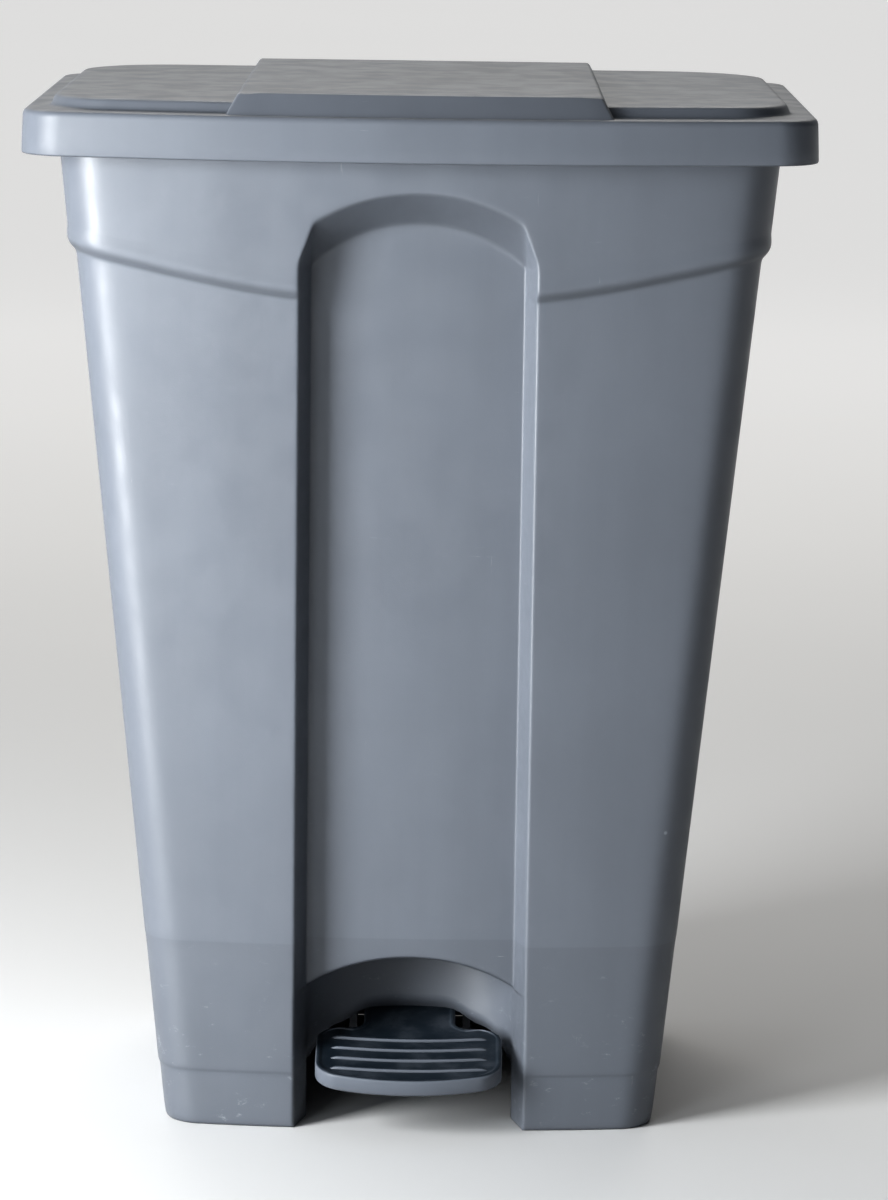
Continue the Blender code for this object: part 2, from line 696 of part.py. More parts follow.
def axle_brackets():
    """Angle brackets hung from the underside of the floor."""
    top = FLOOR_TOP - WALL - GAP
    for name, side in (("axle_bracket_left", -1), ("axle_bracket_right", 1)):
        near, far, wing = side * 35.0, side * 40.0, side * 55.0
        low, high = sorted((near, far))
        plate = box(name, (low, AXLE_Y - 14, AXLE_Z), (high, AXLE_Y + 14, top), zinc_steel())
        low_wing, high_wing = sorted((near, wing))
        flange = box(f"{name}_flange", (low_wing, AXLE_Y - 14, top - 3.0), (high_wing, AXLE_Y + 14, top))
        end = rod(f"{name}_end", 13.8, (low, AXLE_Y, AXLE_Z), (high, AXLE_Y, AXLE_Z), segments=24)
        join(plate, flange, end)
        ends = ((low - 5, AXLE_Y, AXLE_Z), (high + 5, AXLE_Y, AXLE_Z))
        cut(plate, rod(f"cut_{name}_bore", AXLE_RADIUS + GAP, *ends))
        holes = [spot for spot in bracket_rivet_places() if spot[0] * side > 0]
        for number, (x, y) in enumerate(holes):
            cut(plate, rod(f"cut_{name}_{number}", 2.6, (x, y, 105.0), (x, y, 125.0), segments=12))


def rivet(name, radius, centre, direction, grip):
    """A rivet with a domed head at each end of a grip length, centred on the middle of the grip."""
    half = grip / 2 + GAP
    cap = 2.0 * radius
    profile = [(0.0, half + 2.0), (cap * 0.6, half + 1.6), (cap, half), (radius, half)]
    profile += [(radius, -half), (cap, -half), (cap * 0.6, -half - 1.6), (0.0, -half - 2.0)]
    turned(name, profile, centre, direction, zinc_steel(), steps=14)


def bracket_rivets():
    names = ("left_front", "left_rear", "right_front", "right_rear")
    low = FLOOR_TOP - WALL - GAP - 3.0
    for name, (x, y) in zip(names, bracket_rivet_places()):
        rivet(f"bracket_rivet_{name}", 2.2, (x, y, (low + FLOOR_TOP) / 2), (0, 0, 1), FLOOR_TOP - low)


def rod_line(z):
    """The push rod's Y at a height: it leans back by a constant slope from its foot to the lid."""
    return ROD_FOOT_Y + (z - ROD_FOOT_Z) * rod_slope()


def rod_slope():
    pin_y, pin_z = lift_pin_place()
    return (pin_y - ROD_FOOT_Y) / (pin_z - ROD_FOOT_Z)


def rod_parts():
    """The push rod with a slotted block at each end, for the lever's pin and for the lid's pin."""
    lean = -math.atan(rod_slope())
    pin_y, pin_z = lift_pin_place()
    foot, head = (0.0, ROD_FOOT_Y, ROD_FOOT_Z), (0.0, pin_y, pin_z)
    start, end = foot_socket_end(), pin_z - 9.0
    shaft = rod("push_rod", ROD_RADIUS, (0, rod_line(start), start), (0, rod_line(end), end), zinc_steel())
    move_origin(shaft, *foot)
    slotted_block("rod_foot_block", foot, lean, (-11.5, 5.5), (-7.0, 21.0), (-6.3, 1.2), 7.0, 1)
    slotted_block("rod_head_block", head, lean, (-18.0, 7.5), (-21.0, 7.5), (-12.2, 1.2), 5.5, -1)


def foot_socket_end():
    return ROD_FOOT_Z + 9.0


def slotted_block(name, pin, lean, depth, height, slot, half, way):
    """A block about a pin, with a slot for the pin's sideways play and a socket for the rod."""
    x, y, z = pin
    low, high = (-half, y + depth[0], z + height[0]), (half, y + depth[1], z + height[1])
    block = box(name, low, high, guide_nylon(), lean, pin)
    width = PIN_RADIUS + 1.2
    turn = Matrix.Rotation(lean, 3, "X")
    centre = Vector(pin)
    for end in slot:
        middle = centre + turn @ Vector((0, end, 0))
        bore = (middle - Vector((20, 0, 0)), middle + Vector((20, 0, 0)))
        cut(block, rod(f"cut_{name}_{end:.0f}", width, *bore))
    low = (-20, y + slot[0], z - width * 0.995)
    cut(block, box(f"cut_{name}_slot", low, (20, y + slot[1], z + width * 0.995), None, lean, pin))
    reach = [centre + turn @ Vector((0, 0, way * distance)) for distance in (7.4, 30.0)]
    cut(block, rod(f"cut_{name}_socket", ROD_RADIUS + GAP, *reach))
    return move_origin(block, *pin)


def cross_pins():
    """The pins through the lever and through the lid's cheeks, at either end of the push rod."""
    pin_y, pin_z = lift_pin_place()
    for name, y, z, half in (("lever_pin", ROD_FOOT_Y, ROD_FOOT_Z, 15.5), ("lift_pin", pin_y, pin_z, 14.5)):
        head = PIN_RADIUS + 1.2
        profile = [(0.0, half), (head, half), (head, half - 1.6), (PIN_RADIUS, half - 1.6)]
        profile += [(PIN_RADIUS, 0.5 - half), (PIN_RADIUS - 0.5, -half), (0.0, -half)]
        turned(name, profile, (0, y, z), (1, 0, 0), pin_steel(), steps=16)


def guide_heights():
    return (("lower", 240.0), ("upper", 500.0))


def channel_floor(z):
    return BASE_REAR + REAR_SLOPE * z - CHANNEL_DEPTH


def guide_rivet_places():
    for _, z in guide_heights():
        for side in (-1, 1):
            yield side * 14.5, channel_floor(z), z


def rod_guides():
    """Saddles in the channel that keep the rod straight, each held by two rivets."""
    for name, z in guide_heights():
        base, lean = channel_floor(z), -math.atan(REAR_SLOPE)
        pivot = (0.0, base, z)
        low, high = (-20, base + GAP, z - 9), (20, base + 4.0, z + 9)
        guide = box(f"rod_guide_{name}", low, high, guide_nylon(), lean, pivot)
        low, high = (-8, base + 2.0, z - 9), (8, rod_line(z) + 7.0, z + 9)
        join(guide, box(f"saddle_{name}", low, high, None, lean, pivot))
        bore = ((0, rod_line(z - 30), z - 30), (0, rod_line(z + 30), z + 30))
        cut(guide, rod(f"cut_guide_{name}", ROD_RADIUS + 0.5, *bore))
        for side in (-1, 1):
            ends = ((side * 14.5, base - 8, z), (side * 14.5, base + 8, z))
            cut(guide, rod(f"cut_guide_{name}_{side}", 2.4, *ends, segments=12))
    names = ("lower_left", "lower_right", "upper_left", "upper_right")
    for name, (x, y, z) in zip(names, guide_rivet_places()):
        rivet(f"guide_rivet_{name}", 2.0, (x, y + (4.0 - WALL) / 2, z), (0, 1, 0), 4.0 + WALL)


def build():
    clear_scene()
    bin_body()
    lid()
    lid_buffers()
    hinge_pins()
    pedal()
    lift_lever()
    pedal_screws()
    pedal_axle()
    axle_clips()
    axle_brackets()
    bracket_rivets()
    rod_parts()
    cross_pins()
    rod_guides()


build()
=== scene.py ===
"""Looks of the step-on pedal bin: fine moulded surfaces, finishes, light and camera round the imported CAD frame.

Lengths in this file are millimetres unless a name ends in _m; meshes are written in metres.
"""

from __future__ import annotations

import functools
import json
import logging
import math
from collections.abc import Callable, Iterable, Sequence
from dataclasses import dataclass
from enum import Enum

import bmesh
import bpy
import numpy as np
from mathutils import Matrix, Vector


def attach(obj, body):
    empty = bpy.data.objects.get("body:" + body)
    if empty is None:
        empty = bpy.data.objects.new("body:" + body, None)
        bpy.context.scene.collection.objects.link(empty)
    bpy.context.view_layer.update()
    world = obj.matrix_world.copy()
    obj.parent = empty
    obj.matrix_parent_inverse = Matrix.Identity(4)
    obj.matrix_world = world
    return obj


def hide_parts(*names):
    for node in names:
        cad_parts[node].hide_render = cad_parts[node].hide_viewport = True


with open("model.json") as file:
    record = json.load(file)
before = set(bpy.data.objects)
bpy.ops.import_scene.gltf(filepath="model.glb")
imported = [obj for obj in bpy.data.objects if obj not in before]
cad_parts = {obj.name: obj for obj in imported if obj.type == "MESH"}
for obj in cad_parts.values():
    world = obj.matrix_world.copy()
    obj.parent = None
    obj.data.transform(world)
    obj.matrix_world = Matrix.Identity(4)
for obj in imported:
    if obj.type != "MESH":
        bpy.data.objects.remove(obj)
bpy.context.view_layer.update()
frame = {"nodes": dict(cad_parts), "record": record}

LOG = logging.getLogger("pedal_bin")
MM = 0.001
UP = Vector((0, 0, 1))
Material = bpy.types.Material
Piece = bpy.types.Object
Socket = bpy.types.NodeSocket
Flat = tuple[float, float]
Point = tuple[float, float, float]
Builder = Callable[[bmesh.types.BMesh], None]
ROD_SIDES = 40
EASED = {"interpolation_type": "SMOOTHSTEP"}


class Side(Enum):
    """The two sides of the bin, as the sign of X."""

    LEFT = -1
    RIGHT = 1


class Body(Enum):
    """The rigid bodies of the frame that pieces ride on."""

    BIN = "bin"
    LID = "lid"
    TREADLE = "treadle"


# ---- node trees and finishes


class NodePen:
    """Adds and joins the nodes of one tree."""

    def __init__(self, tree: bpy.types.NodeTree) -> None:
        """Takes the tree to draw in."""
        self.tree = tree

    def fill(self, target: Socket, value: object) -> None:
        """Links or sets an input.

        Args:
            target: The input.
            value: A socket to link, or a value to set. A colour may be an RGB triple.
        """
        if isinstance(value, Socket):
            self.tree.links.new(value, target)
        else:
            target.default_value = (*value, 1.0) if target.type == "RGBA" and len(value) == 3 else value

    def feed(self, node: bpy.types.Node, **inputs: object) -> None:
        """Fills inputs of a node, named with _ for each space."""
        for name, value in inputs.items():
            self.fill(node.inputs[name.replace("_", " ")], value)

    def add(self, kind: str, settings: dict[str, object] | None = None, **inputs: object) -> bpy.types.Node:
        """Adds a node.

        Args:
            kind: The node's bl_idname.
            settings: Properties of the node.
            inputs: Its inputs, as feed takes them.

        Returns:
            The new node.
        """
        node = self.tree.nodes.new(kind)
        for name, value in (settings or {}).items():
            setattr(node, name, value)
        self.feed(node, **inputs)
        return node

    def coordinates(self, kind: str) -> Socket:
        """Texture coordinates of a kind: Object, Normal or Generated."""
        return self.add("ShaderNodeTexCoord").outputs[kind]

    def split(self, vector: Socket) -> bpy.types.NodeOutputs:
        """The X, Y and Z of a vector."""
        return self.add("ShaderNodeSeparateXYZ", Vector=vector).outputs

    def noise(self, vector: Socket, scale: float, detail: float = 4.0, rough: float = 0.55) -> Socket:
        """A noise texture's factor."""
        return self.add("ShaderNodeTexNoise", Vector=vector, Scale=scale, Detail=detail, Roughness=rough).outputs["Fac"]

    def stretch(self, vector: Socket, scale: Point) -> Socket:
        """Scales coordinates by an amount on each axis."""
        return self.add("ShaderNodeMapping", Vector=vector, Scale=scale).outputs["Vector"]

    def ramp(self, value: Socket, low: float, high: float, out_low: float = 0.0, out_high: float = 1.0) -> Socket:
        """Maps a range of values to another, clamped and eased."""
        ends = {"From_Min": low, "From_Max": high, "To_Min": out_low, "To_Max": out_high}
        return self.add("ShaderNodeMapRange", EASED, Value=value, **ends).outputs["Result"]

    def math(self, operation: str, a: Socket, b: Socket | float) -> Socket:
        """Adds a Math node.

        Args:
            operation: What it does.
            a: The first input.
            b: The second input.

        Returns:
            The result.
        """
        node = self.add("ShaderNodeMath", {"operation": operation})
        self.fill(node.inputs[0], a)
        self.fill(node.inputs[1], b)
        return node.outputs[0]

    def product(self, *factors: Socket | float) -> Socket:
        """Multiplies sockets and numbers, a socket first."""
        return functools.reduce(lambda a, b: self.math("MULTIPLY", a, b), factors)

    def blend(self, factor: Socket | float, a: Socket | Point, b: Socket | Point, kind: str = "MIX") -> Socket:
        """Mixes two colours.

        Args:
            factor: How much of the second.
            a: The first colour.
            b: The second colour.
            kind: The way of mixing.

        Returns:
            The mixed colour.
        """
        node = self.add("ShaderNodeMix", {"data_type": "RGBA", "blend_type": kind}, Factor=factor)
        self.fill(node.inputs[6], a)
        self.fill(node.inputs[7], b)
        return node.outputs[2]

    def darken(self, mask: Socket, colour: Socket, tone: float) -> Socket:
        """Multiplies a colour by a tone where a mask is one."""
        return self.blend(1.0, colour, self.blend(mask, (1.0, 1.0, 1.0), (tone,) * 3), "MULTIPLY")

    def bump(self, height: Socket, strength: float, distance_m: float, **more: Socket) -> Socket:
        """The normal of a bump, over another normal when one is given."""
        return self.add("ShaderNodeBump", Height=height, Strength=strength, Distance=distance_m, **more).outputs[0]


def new_material(name: str) -> tuple[Material, NodePen, bpy.types.Node]:
    """Makes a node material.

    Args:
        name: The material's name.

    Returns:
        The material, a pen for its tree, and its Principled shader.
    """
    material = bpy.data.materials.new(name)
    material.use_nodes = True
    material.node_tree.nodes.clear()
    pen = NodePen(material.node_tree)
    shader = pen.add("ShaderNodeBsdfPrincipled")
    pen.add("ShaderNodeOutputMaterial", Surface=shader.outputs[0])
    return material, pen, shader


def shaded(colour: Point, factor: float, lift: float = 0.0) -> Point:
    """A colour made darker or lighter by a factor, and lifted."""
    return tuple(channel * factor + lift for channel in colour)


@dataclass(frozen=True)
class MouldedPlastic:
    """Satin polypropylene: faint flow marks, fine grain, pale scuffs and dust near the ground, with painted shade on
    faces that look down and, where set, on faces that look up.
    """

    name: str
    colour: Point
    pale: Point
    roughness: float = 0.42
    scuffs: float = 1.0
    # Painted shade on faces that look up: its strength, and the dark blue tint that the colour is multiplied by there.
    painted_top_shade: float = 0.0
    painted_top_shade_tint: Point = (0.05, 0.09, 0.12)
    foot_dust: float = 0.0
    low_tone: float = 1.0
    low_top_m: float = 0.124
    # How dark the painted shade on faces that look down is.
    painted_underside_shade: float = 0.70
    specular: float = 0.5

    def build(self) -> Material:
        """Builds the node material.

        Returns:
            The material.
        """
        material, pen, shader = new_material(self.name)
        where = pen.coordinates("Object")
        clouds = pen.noise(where, 7.0, 3.0)
        flow = pen.noise(pen.stretch(where, (26.0, 26.0, 2.2)), 1.0, 4.0, 0.6)
        tone = pen.ramp(pen.math("ADD", pen.product(clouds, 0.55), pen.product(flow, 0.45)), 0.36, 0.64)
        colour = pen.blend(tone, shaded(self.colour, 0.955), shaded(self.colour, 1.045))
        if self.low_tone < 1.0:
            low = pen.ramp(pen.split(where)["Z"], self.low_top_m - 0.0004, self.low_top_m + 0.0008, 1.0, 0.0)
            colour = pen.darken(low, colour, self.low_tone)
        # Painted shade: faces that look down are darkened, standing in for the shade under the lips and arches.
        under = pen.ramp(pen.split(pen.coordinates("Normal"))["Z"], -0.62, -0.16, 1.0, 0.0)
        colour = pen.darken(under, colour, self.painted_underside_shade)
        colour = pen.blend(self.speck_mask(pen, where), colour, self.pale)
        marks = self.scuff_mask(pen, where)
        colour = pen.blend(marks, colour, self.pale)
        if self.foot_dust:
            colour = pen.blend(self.dust_mask(pen, where), colour, self.pale)
        # Painted shade and dark reflection on faces that look up, as on the pedal under the bin's overhang.
        if self.painted_top_shade:
            painted_top_colour = tuple(channel * part for channel, part in zip(self.colour, self.painted_top_shade_tint))
            colour = pen.blend(self.painted_top_shade_mask(pen, where), colour, painted_top_colour)
        rough = pen.ramp(pen.noise(where, 38.0, 5.0), 0.3, 0.7, self.roughness - 0.06, self.roughness + 0.08)
        rough = pen.math("ADD", rough, pen.product(marks, 0.18))
        wave = pen.bump(pen.noise(pen.stretch(where, (9.0, 9.0, 3.0)), 1.0, 2.0, 0.4), 0.25, 0.0016)
        grain = pen.bump(pen.noise(where, 1500.0, 2.0), 0.10, 0.0004, Normal=wave)
        pen.feed(shader, Base_Color=colour, Roughness=rough, Specular_IOR_Level=self.specular, Normal=grain)
        return material

    def speck_mask(self, pen: NodePen, where: Socket) -> Socket:
        """Small pale dots, a few to a hand's breadth.

        Args:
            pen: The pen of the material's tree.
            where: Object coordinates.

        Returns:
            The mask.
        """
        cells = pen.add("ShaderNodeTexVoronoi", {"feature": "F1"}, Vector=where, Scale=24.0).outputs
        near = pen.ramp(cells["Distance"], 0.018, 0.045, 1.0, 0.0)
        chance = pen.add("ShaderNodeSeparateColor", Color=cells["Color"]).outputs[0]
        return pen.product(near, pen.ramp(chance, 0.90, 0.92), 0.55 * self.scuffs)

    def scuff_mask(self, pen: NodePen, where: Socket) -> Socket:
        """Short pale rubs in both directions.

        Args:
            pen: The pen of the material's tree.
            where: Object coordinates.

        Returns:
            The mask.
        """
        across = pen.noise(pen.stretch(where, (22.0, 22.0, 340.0)), 1.0, 5.0, 0.7)
        along = pen.noise(pen.stretch(where, (300.0, 300.0, 14.0)), 1.0, 4.0, 0.7)
        patch = pen.ramp(pen.noise(where, 9.0, 2.0), 0.56, 0.70)
        lines = pen.math("MAXIMUM", pen.ramp(across, 0.66, 0.76), pen.ramp(along, 0.69, 0.78))
        return pen.product(lines, patch, 0.40 * self.scuffs)

    def dust_mask(self, pen: NodePen, where: Socket) -> Socket:
        """Pale rubs on the lowest hand's breadth, where shoes and mops knock it."""
        rubs = pen.ramp(pen.noise(pen.stretch(where, (60.0, 60.0, 110.0)), 1.0, 6.0, 0.75), 0.60, 0.78)
        return pen.product(pen.ramp(pen.split(where)["Z"], 0.015, 0.150, 1.0, 0.0), rubs, self.foot_dust)

    def painted_top_shade_mask(self, pen: NodePen, where: Socket) -> Socket:
        """Painted shade on faces that look upwards, broken up by noise."""
        broken = pen.ramp(pen.noise(where, 55.0, 5.0, 0.65), 0.25, 0.60, 0.72, 1.0)
        return pen.product(pen.ramp(pen.split(pen.coordinates("Normal"))["Z"], 0.55, 0.93), broken, self.painted_top_shade)


@dataclass(frozen=True)
class PlatedSteel:
    """Zinc-plated or drawn steel with brushed streaks and dull patches."""

    name: str
    colour: Point
    roughness: float
    streak: Point = (30.0, 260.0, 260.0)

    def build(self) -> Material:
        """Builds the node material.

        Returns:
            The material.
        """
        material, pen, shader = new_material(self.name)
        where = pen.coordinates("Object")
        streaks = pen.noise(pen.stretch(where, self.streak), 4.0, 5.0, 0.6)
        patches = pen.ramp(pen.noise(where, 60.0, 4.0), 0.4, 0.66)
        colour = pen.blend(patches, self.colour, shaded(self.colour, 0.72))
        rough = pen.ramp(streaks, 0.3, 0.7, self.roughness - 0.07, self.roughness + 0.12)
        normal = pen.bump(streaks, 0.15, 0.0002)
        pen.feed(shader, Base_Color=colour, Metallic=1.0, Roughness=rough, Normal=normal)
        return material


@dataclass(frozen=True)
class BlackPolymer:
    """Black nylon or rubber with a dusty bloom."""

    name: str
    colour: Point
    roughness: float
    grain_scale: float

    def build(self) -> Material:
        """Builds the node material.

        Returns:
            The material.
        """
        material, pen, shader = new_material(self.name)
        where = pen.coordinates("Object")
        bloom = pen.ramp(pen.noise(where, 140.0, 5.0), 0.42, 0.75)
        grain = pen.noise(where, self.grain_scale, 3.0)
        colour = pen.blend(bloom, self.colour, shaded(self.colour, 2.2, 0.01))
        rough = pen.ramp(grain, 0.3, 0.7, self.roughness - 0.08, self.roughness + 0.08)
        pen.feed(shader, Base_Color=colour, Roughness=rough, Normal=pen.bump(grain, 0.3, 0.0002))
        return material


@dataclass(frozen=True)
class StudioFloor:
    """A plain pale floor with barely visible mottling, kept pale far from the lights by a faint glow."""

    name: str = "studio_floor"
    colour: Point = (0.66, 0.66, 0.66)
    glow: float = 0.42
    glow_colour: Point = (1.0, 0.985, 0.965)
    glow_from_m: float = 0.9
    glow_full_m: float = 4.5

    def build(self) -> Material:
        """Builds the node material.

        Returns:
            The material.
        """
        material, pen, shader = new_material(self.name)
        where = pen.coordinates("Object")
        tone = pen.ramp(pen.noise(where, 1.2, 2.0), 0.3, 0.7)
        reach = pen.add("ShaderNodeVectorMath", {"operation": "LENGTH"}, Vector=where).outputs["Value"]
        glow = pen.ramp(reach, self.glow_from_m, self.glow_full_m, 0.0, self.glow)
        pen.feed(shader, Base_Color=pen.blend(tone, shaded(self.colour, 0.985), self.colour))
        pen.feed(shader, Roughness=0.7, Specular_IOR_Level=0.2)
        pen.feed(shader, Emission_Color=self.glow_colour, Emission_Strength=glow)
        return material


SLATE = (0.100, 0.111, 0.131)
PALE = (0.40, 0.42, 0.45)
FINISHES = (
    MouldedPlastic("body_plastic", SLATE, PALE, foot_dust=0.55, low_tone=0.90),
    MouldedPlastic("lid_plastic", SLATE, PALE, roughness=0.46, scuffs=0.8, specular=0.38),
    # The pedal's upper faces carry painted shade, dark and bluish.
    MouldedPlastic("pedal_plastic", SLATE, PALE, roughness=0.40, scuffs=0.6, painted_top_shade=0.95, specular=0.18),
    BlackPolymer("guide_nylon", (0.030, 0.030, 0.034), 0.45, 900.0),
    BlackPolymer("buffer_rubber", (0.018, 0.018, 0.018), 0.75, 1300.0),
    PlatedSteel("zinc_steel", (0.22, 0.23, 0.25), 0.40),
    # Near-black steel for the axle brackets: painted shade, because they sit in the dark under the bin.
    PlatedSteel("shade_painted_steel", (0.045, 0.047, 0.052), 0.5),
    PlatedSteel("pin_steel", (0.42, 0.42, 0.44), 0.28, (260.0, 30.0, 30.0)),
)


# ---- outlines and meshes


def smoothstep(value: float) -> float:
    """Eases 0 to 1."""
    part = min(max(value, 0.0), 1.0)
    return part * part * (3 - 2 * part)


def arc_points(centre: Flat, radius: float, start: float, end: float, count: int) -> list[Flat]:
    """Points along an arc in degrees, both ends included."""
    angles = [math.radians(start + (end - start) * i / count) for i in range(count + 1)]
    return [(centre[0] + radius * math.cos(a), centre[1] + radius * math.sin(a)) for a in angles]


def mirrored(right: Sequence[Flat]) -> list[Flat]:
    """A whole outline from its right half, front centre to rear centre."""
    return [*right, *((-x, y) for x, y in reversed(right[1:-1]))]


@dataclass(frozen=True)
class RoundedPlan:
    """A rounded rectangle with a bowed front."""

    half: float
    front: float
    rear: float
    radius: float
    rear_radius: float
    bow: float

    def front_tangent(self) -> Flat:
        """Where the front meets its corner, and the front's slope angle there.

        Returns:
            The X of the tangent point and the angle in radians.
        """
        tangent, lean = self.half - self.radius, 0.0
        for _ in range(8):
            lean = math.atan(tangent / self.bow)
            tangent = self.half - self.radius * (1 - math.sin(lean))
        return tangent, lean

    def front_y(self, x: float) -> float:
        """The front's Y at an X."""
        return self.front + x * x / (2 * self.bow)

    def corner_centre(self) -> Flat:
        """The centre of the front corner's arc."""
        tangent, lean = self.front_tangent()
        return tangent - self.radius * math.sin(lean), self.front_y(tangent) + self.radius * math.cos(lean)


def link_piece(name: str, mesh: bpy.types.Mesh) -> Piece:
    """Puts a mesh in the scene.

    Args:
        name: The piece's name.
        mesh: Its mesh, in metres.

    Returns:
        The object, at the origin.
    """
    piece = bpy.data.objects.new(name, mesh)
    bpy.context.scene.collection.objects.link(piece)
    return piece


def link_bmesh(name: str, bm: bmesh.types.BMesh) -> Piece:
    """Puts a bmesh in the scene and frees it.

    Args:
        name: The piece's name.
        bm: Its shape, in metres.

    Returns:
        The object, at the origin.
    """
    mesh = bpy.data.meshes.new(name)
    bm.to_mesh(mesh)
    bm.free()
    return link_piece(name, mesh)


def frozen(obj: Piece, name: str) -> Piece:
    """Copies the evaluated shape of an object.

    Args:
        obj: The object with its modifiers.
        name: The copy's name.

    Returns:
        The copy, a plain mesh object.
    """
    bpy.context.view_layer.update()
    mesh = bpy.data.meshes.new_from_object(obj.evaluated_get(bpy.context.evaluated_depsgraph_get()))
    mesh.name = name
    return link_piece(name, mesh)


def rings_mesh(name: str, rings: Sequence[Sequence[Point]], material: Material) -> Piece:
    """A closed skin through rings, with its first and last ring filled.

    Args:
        name: The piece's name.
        rings: Rings of equal counts, anticlockwise from above and rising on the outside.
        material: The piece's finish.

    Returns:
        The object.
    """
    count, last = len(rings[0]), len(rings) - 1
    faces = [
        (low + i, low + (i + 1) % count, low + count + (i + 1) % count, low + count + i)
        for low in range(0, last * count, count)
        for i in range(count)
    ]
    faces += [tuple(reversed(range(count))), tuple(range(last * count, (last + 1) * count))]
    return shell_mesh(name, np.array(rings, float).reshape(-1, 3), faces, material)


def shell_mesh(name: str, points: np.ndarray, faces: Iterable[Sequence[int]], material: Material) -> Piece:
    """Makes a smooth-shaded object from points in millimetres.

    Args:
        name: The piece's name.
        points: N by 3 positions.
        faces: Corner indices of each face.
        material: The piece's finish.

    Returns:
        The object, at the origin.
    """
    mesh = bpy.data.meshes.new(name)
    mesh.from_pydata((points * MM).tolist(), [], [list(face) for face in faces])
    mesh.validate()
    mesh.shade_smooth()
    mesh.materials.append(material)
    return link_piece(name, mesh)


def solid_pieces(name: str, builders: Sequence[Builder], material: Material, bevel: float) -> Piece:
    """Several closed shapes unioned into one mesh with softened edges.

    Args:
        name: The piece's name.
        builders: Functions that each add one closed shape to a bmesh, in millimetres.
        material: The piece's finish.
        bevel: The width of the softened edges.

    Returns:
        The object.
    """
    made = []
    for number, builder in enumerate(builders):
        bm = bmesh.new()
        builder(bm)
        bmesh.ops.scale(bm, vec=(MM, MM, MM), verts=bm.verts)
        made.append(link_bmesh(f"{name}_{number}", bm))
    whole = made[0]
    for other in made[1:]:
        step = whole.modifiers.new("join", "BOOLEAN")
        step.operation = "UNION"
        step.object = other
    softened = whole.modifiers.new("soften", "BEVEL")
    softened.width = bevel * MM
    softened.segments = 3
    softened.limit_method = "ANGLE"
    softened.angle_limit = math.radians(32)
    softened.harden_normals = False
    piece = frozen(whole, name)
    for other in made:
        bpy.data.objects.remove(other, do_unlink=True)
    piece.data.materials.clear()
    piece.data.materials.append(material)
    piece.data.shade_smooth()
    piece.data.set_sharp_from_angle(angle=math.radians(40))
    return piece


def add_box(low: Point, high: Point) -> Builder:
    """Plans a box.

    Args:
        low: Its lowest corner.
        high: Its highest corner.

    Returns:
        A builder of the box.
    """

    def build(bm: bmesh.types.BMesh) -> None:
        """Adds the box."""
        for vert in bmesh.ops.create_cube(bm, size=1.0)["verts"]:
            vert.co = Vector((c + 0.5) * (h - l) + l for c, l, h in zip(vert.co, low, high))

    return build


def add_rod(radius: float, start: Point, end: Point) -> Builder:
    """Plans a cylinder.

    Args:
        radius: Its radius.
        start: The middle of one end.
        end: The middle of the other end.

    Returns:
        A builder of the cylinder.
    """
    begin, way = Vector(start), Vector(end) - Vector(start)
    place = Matrix.Translation(begin + way / 2) @ UP.rotation_difference(way).to_matrix().to_4x4()

    def build(bm: bmesh.types.BMesh) -> None:
        """Adds the cylinder."""
        sizes = {"radius1": radius, "radius2": radius, "depth": way.length}
        bmesh.ops.create_cone(bm, cap_ends=True, segments=ROD_SIDES, matrix=place, **sizes)

    return build


def settle(piece: Piece, body: Body, slot: str, *nodes: str) -> None:
    """Hands a piece to the frame.

    Args:
        piece: The piece.
        body: The body it rides on.
        slot: Its material slot; not used.
        nodes: The CAD nodes that it stands for.
    """
    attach(piece, body.value)
    if nodes:
        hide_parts(*nodes)
    LOG.info("%s rides on %s, %d faces", piece.name, body.value, len(piece.data.polygons))


# ---- the body


# Places across a recess wall as parts of it, and beyond its edge in millimetres, close together at the edge.
WALL_STEPS = (0.0, 0.05, 0.12, 0.22, 0.35, 0.5, 0.65, 0.78, 0.88, 0.95)
NEAR_STEPS = (0.0, 1.0, 2.0, 3.2, 5.0, 8.0, 13.0, 20.0)
# A zone and the place in it, going round half the body.
Column = tuple[str, float]
# The level below a row, the part of the way to the next level, the outward roll there and the row's zone.
Row = tuple[int, float, float, str]


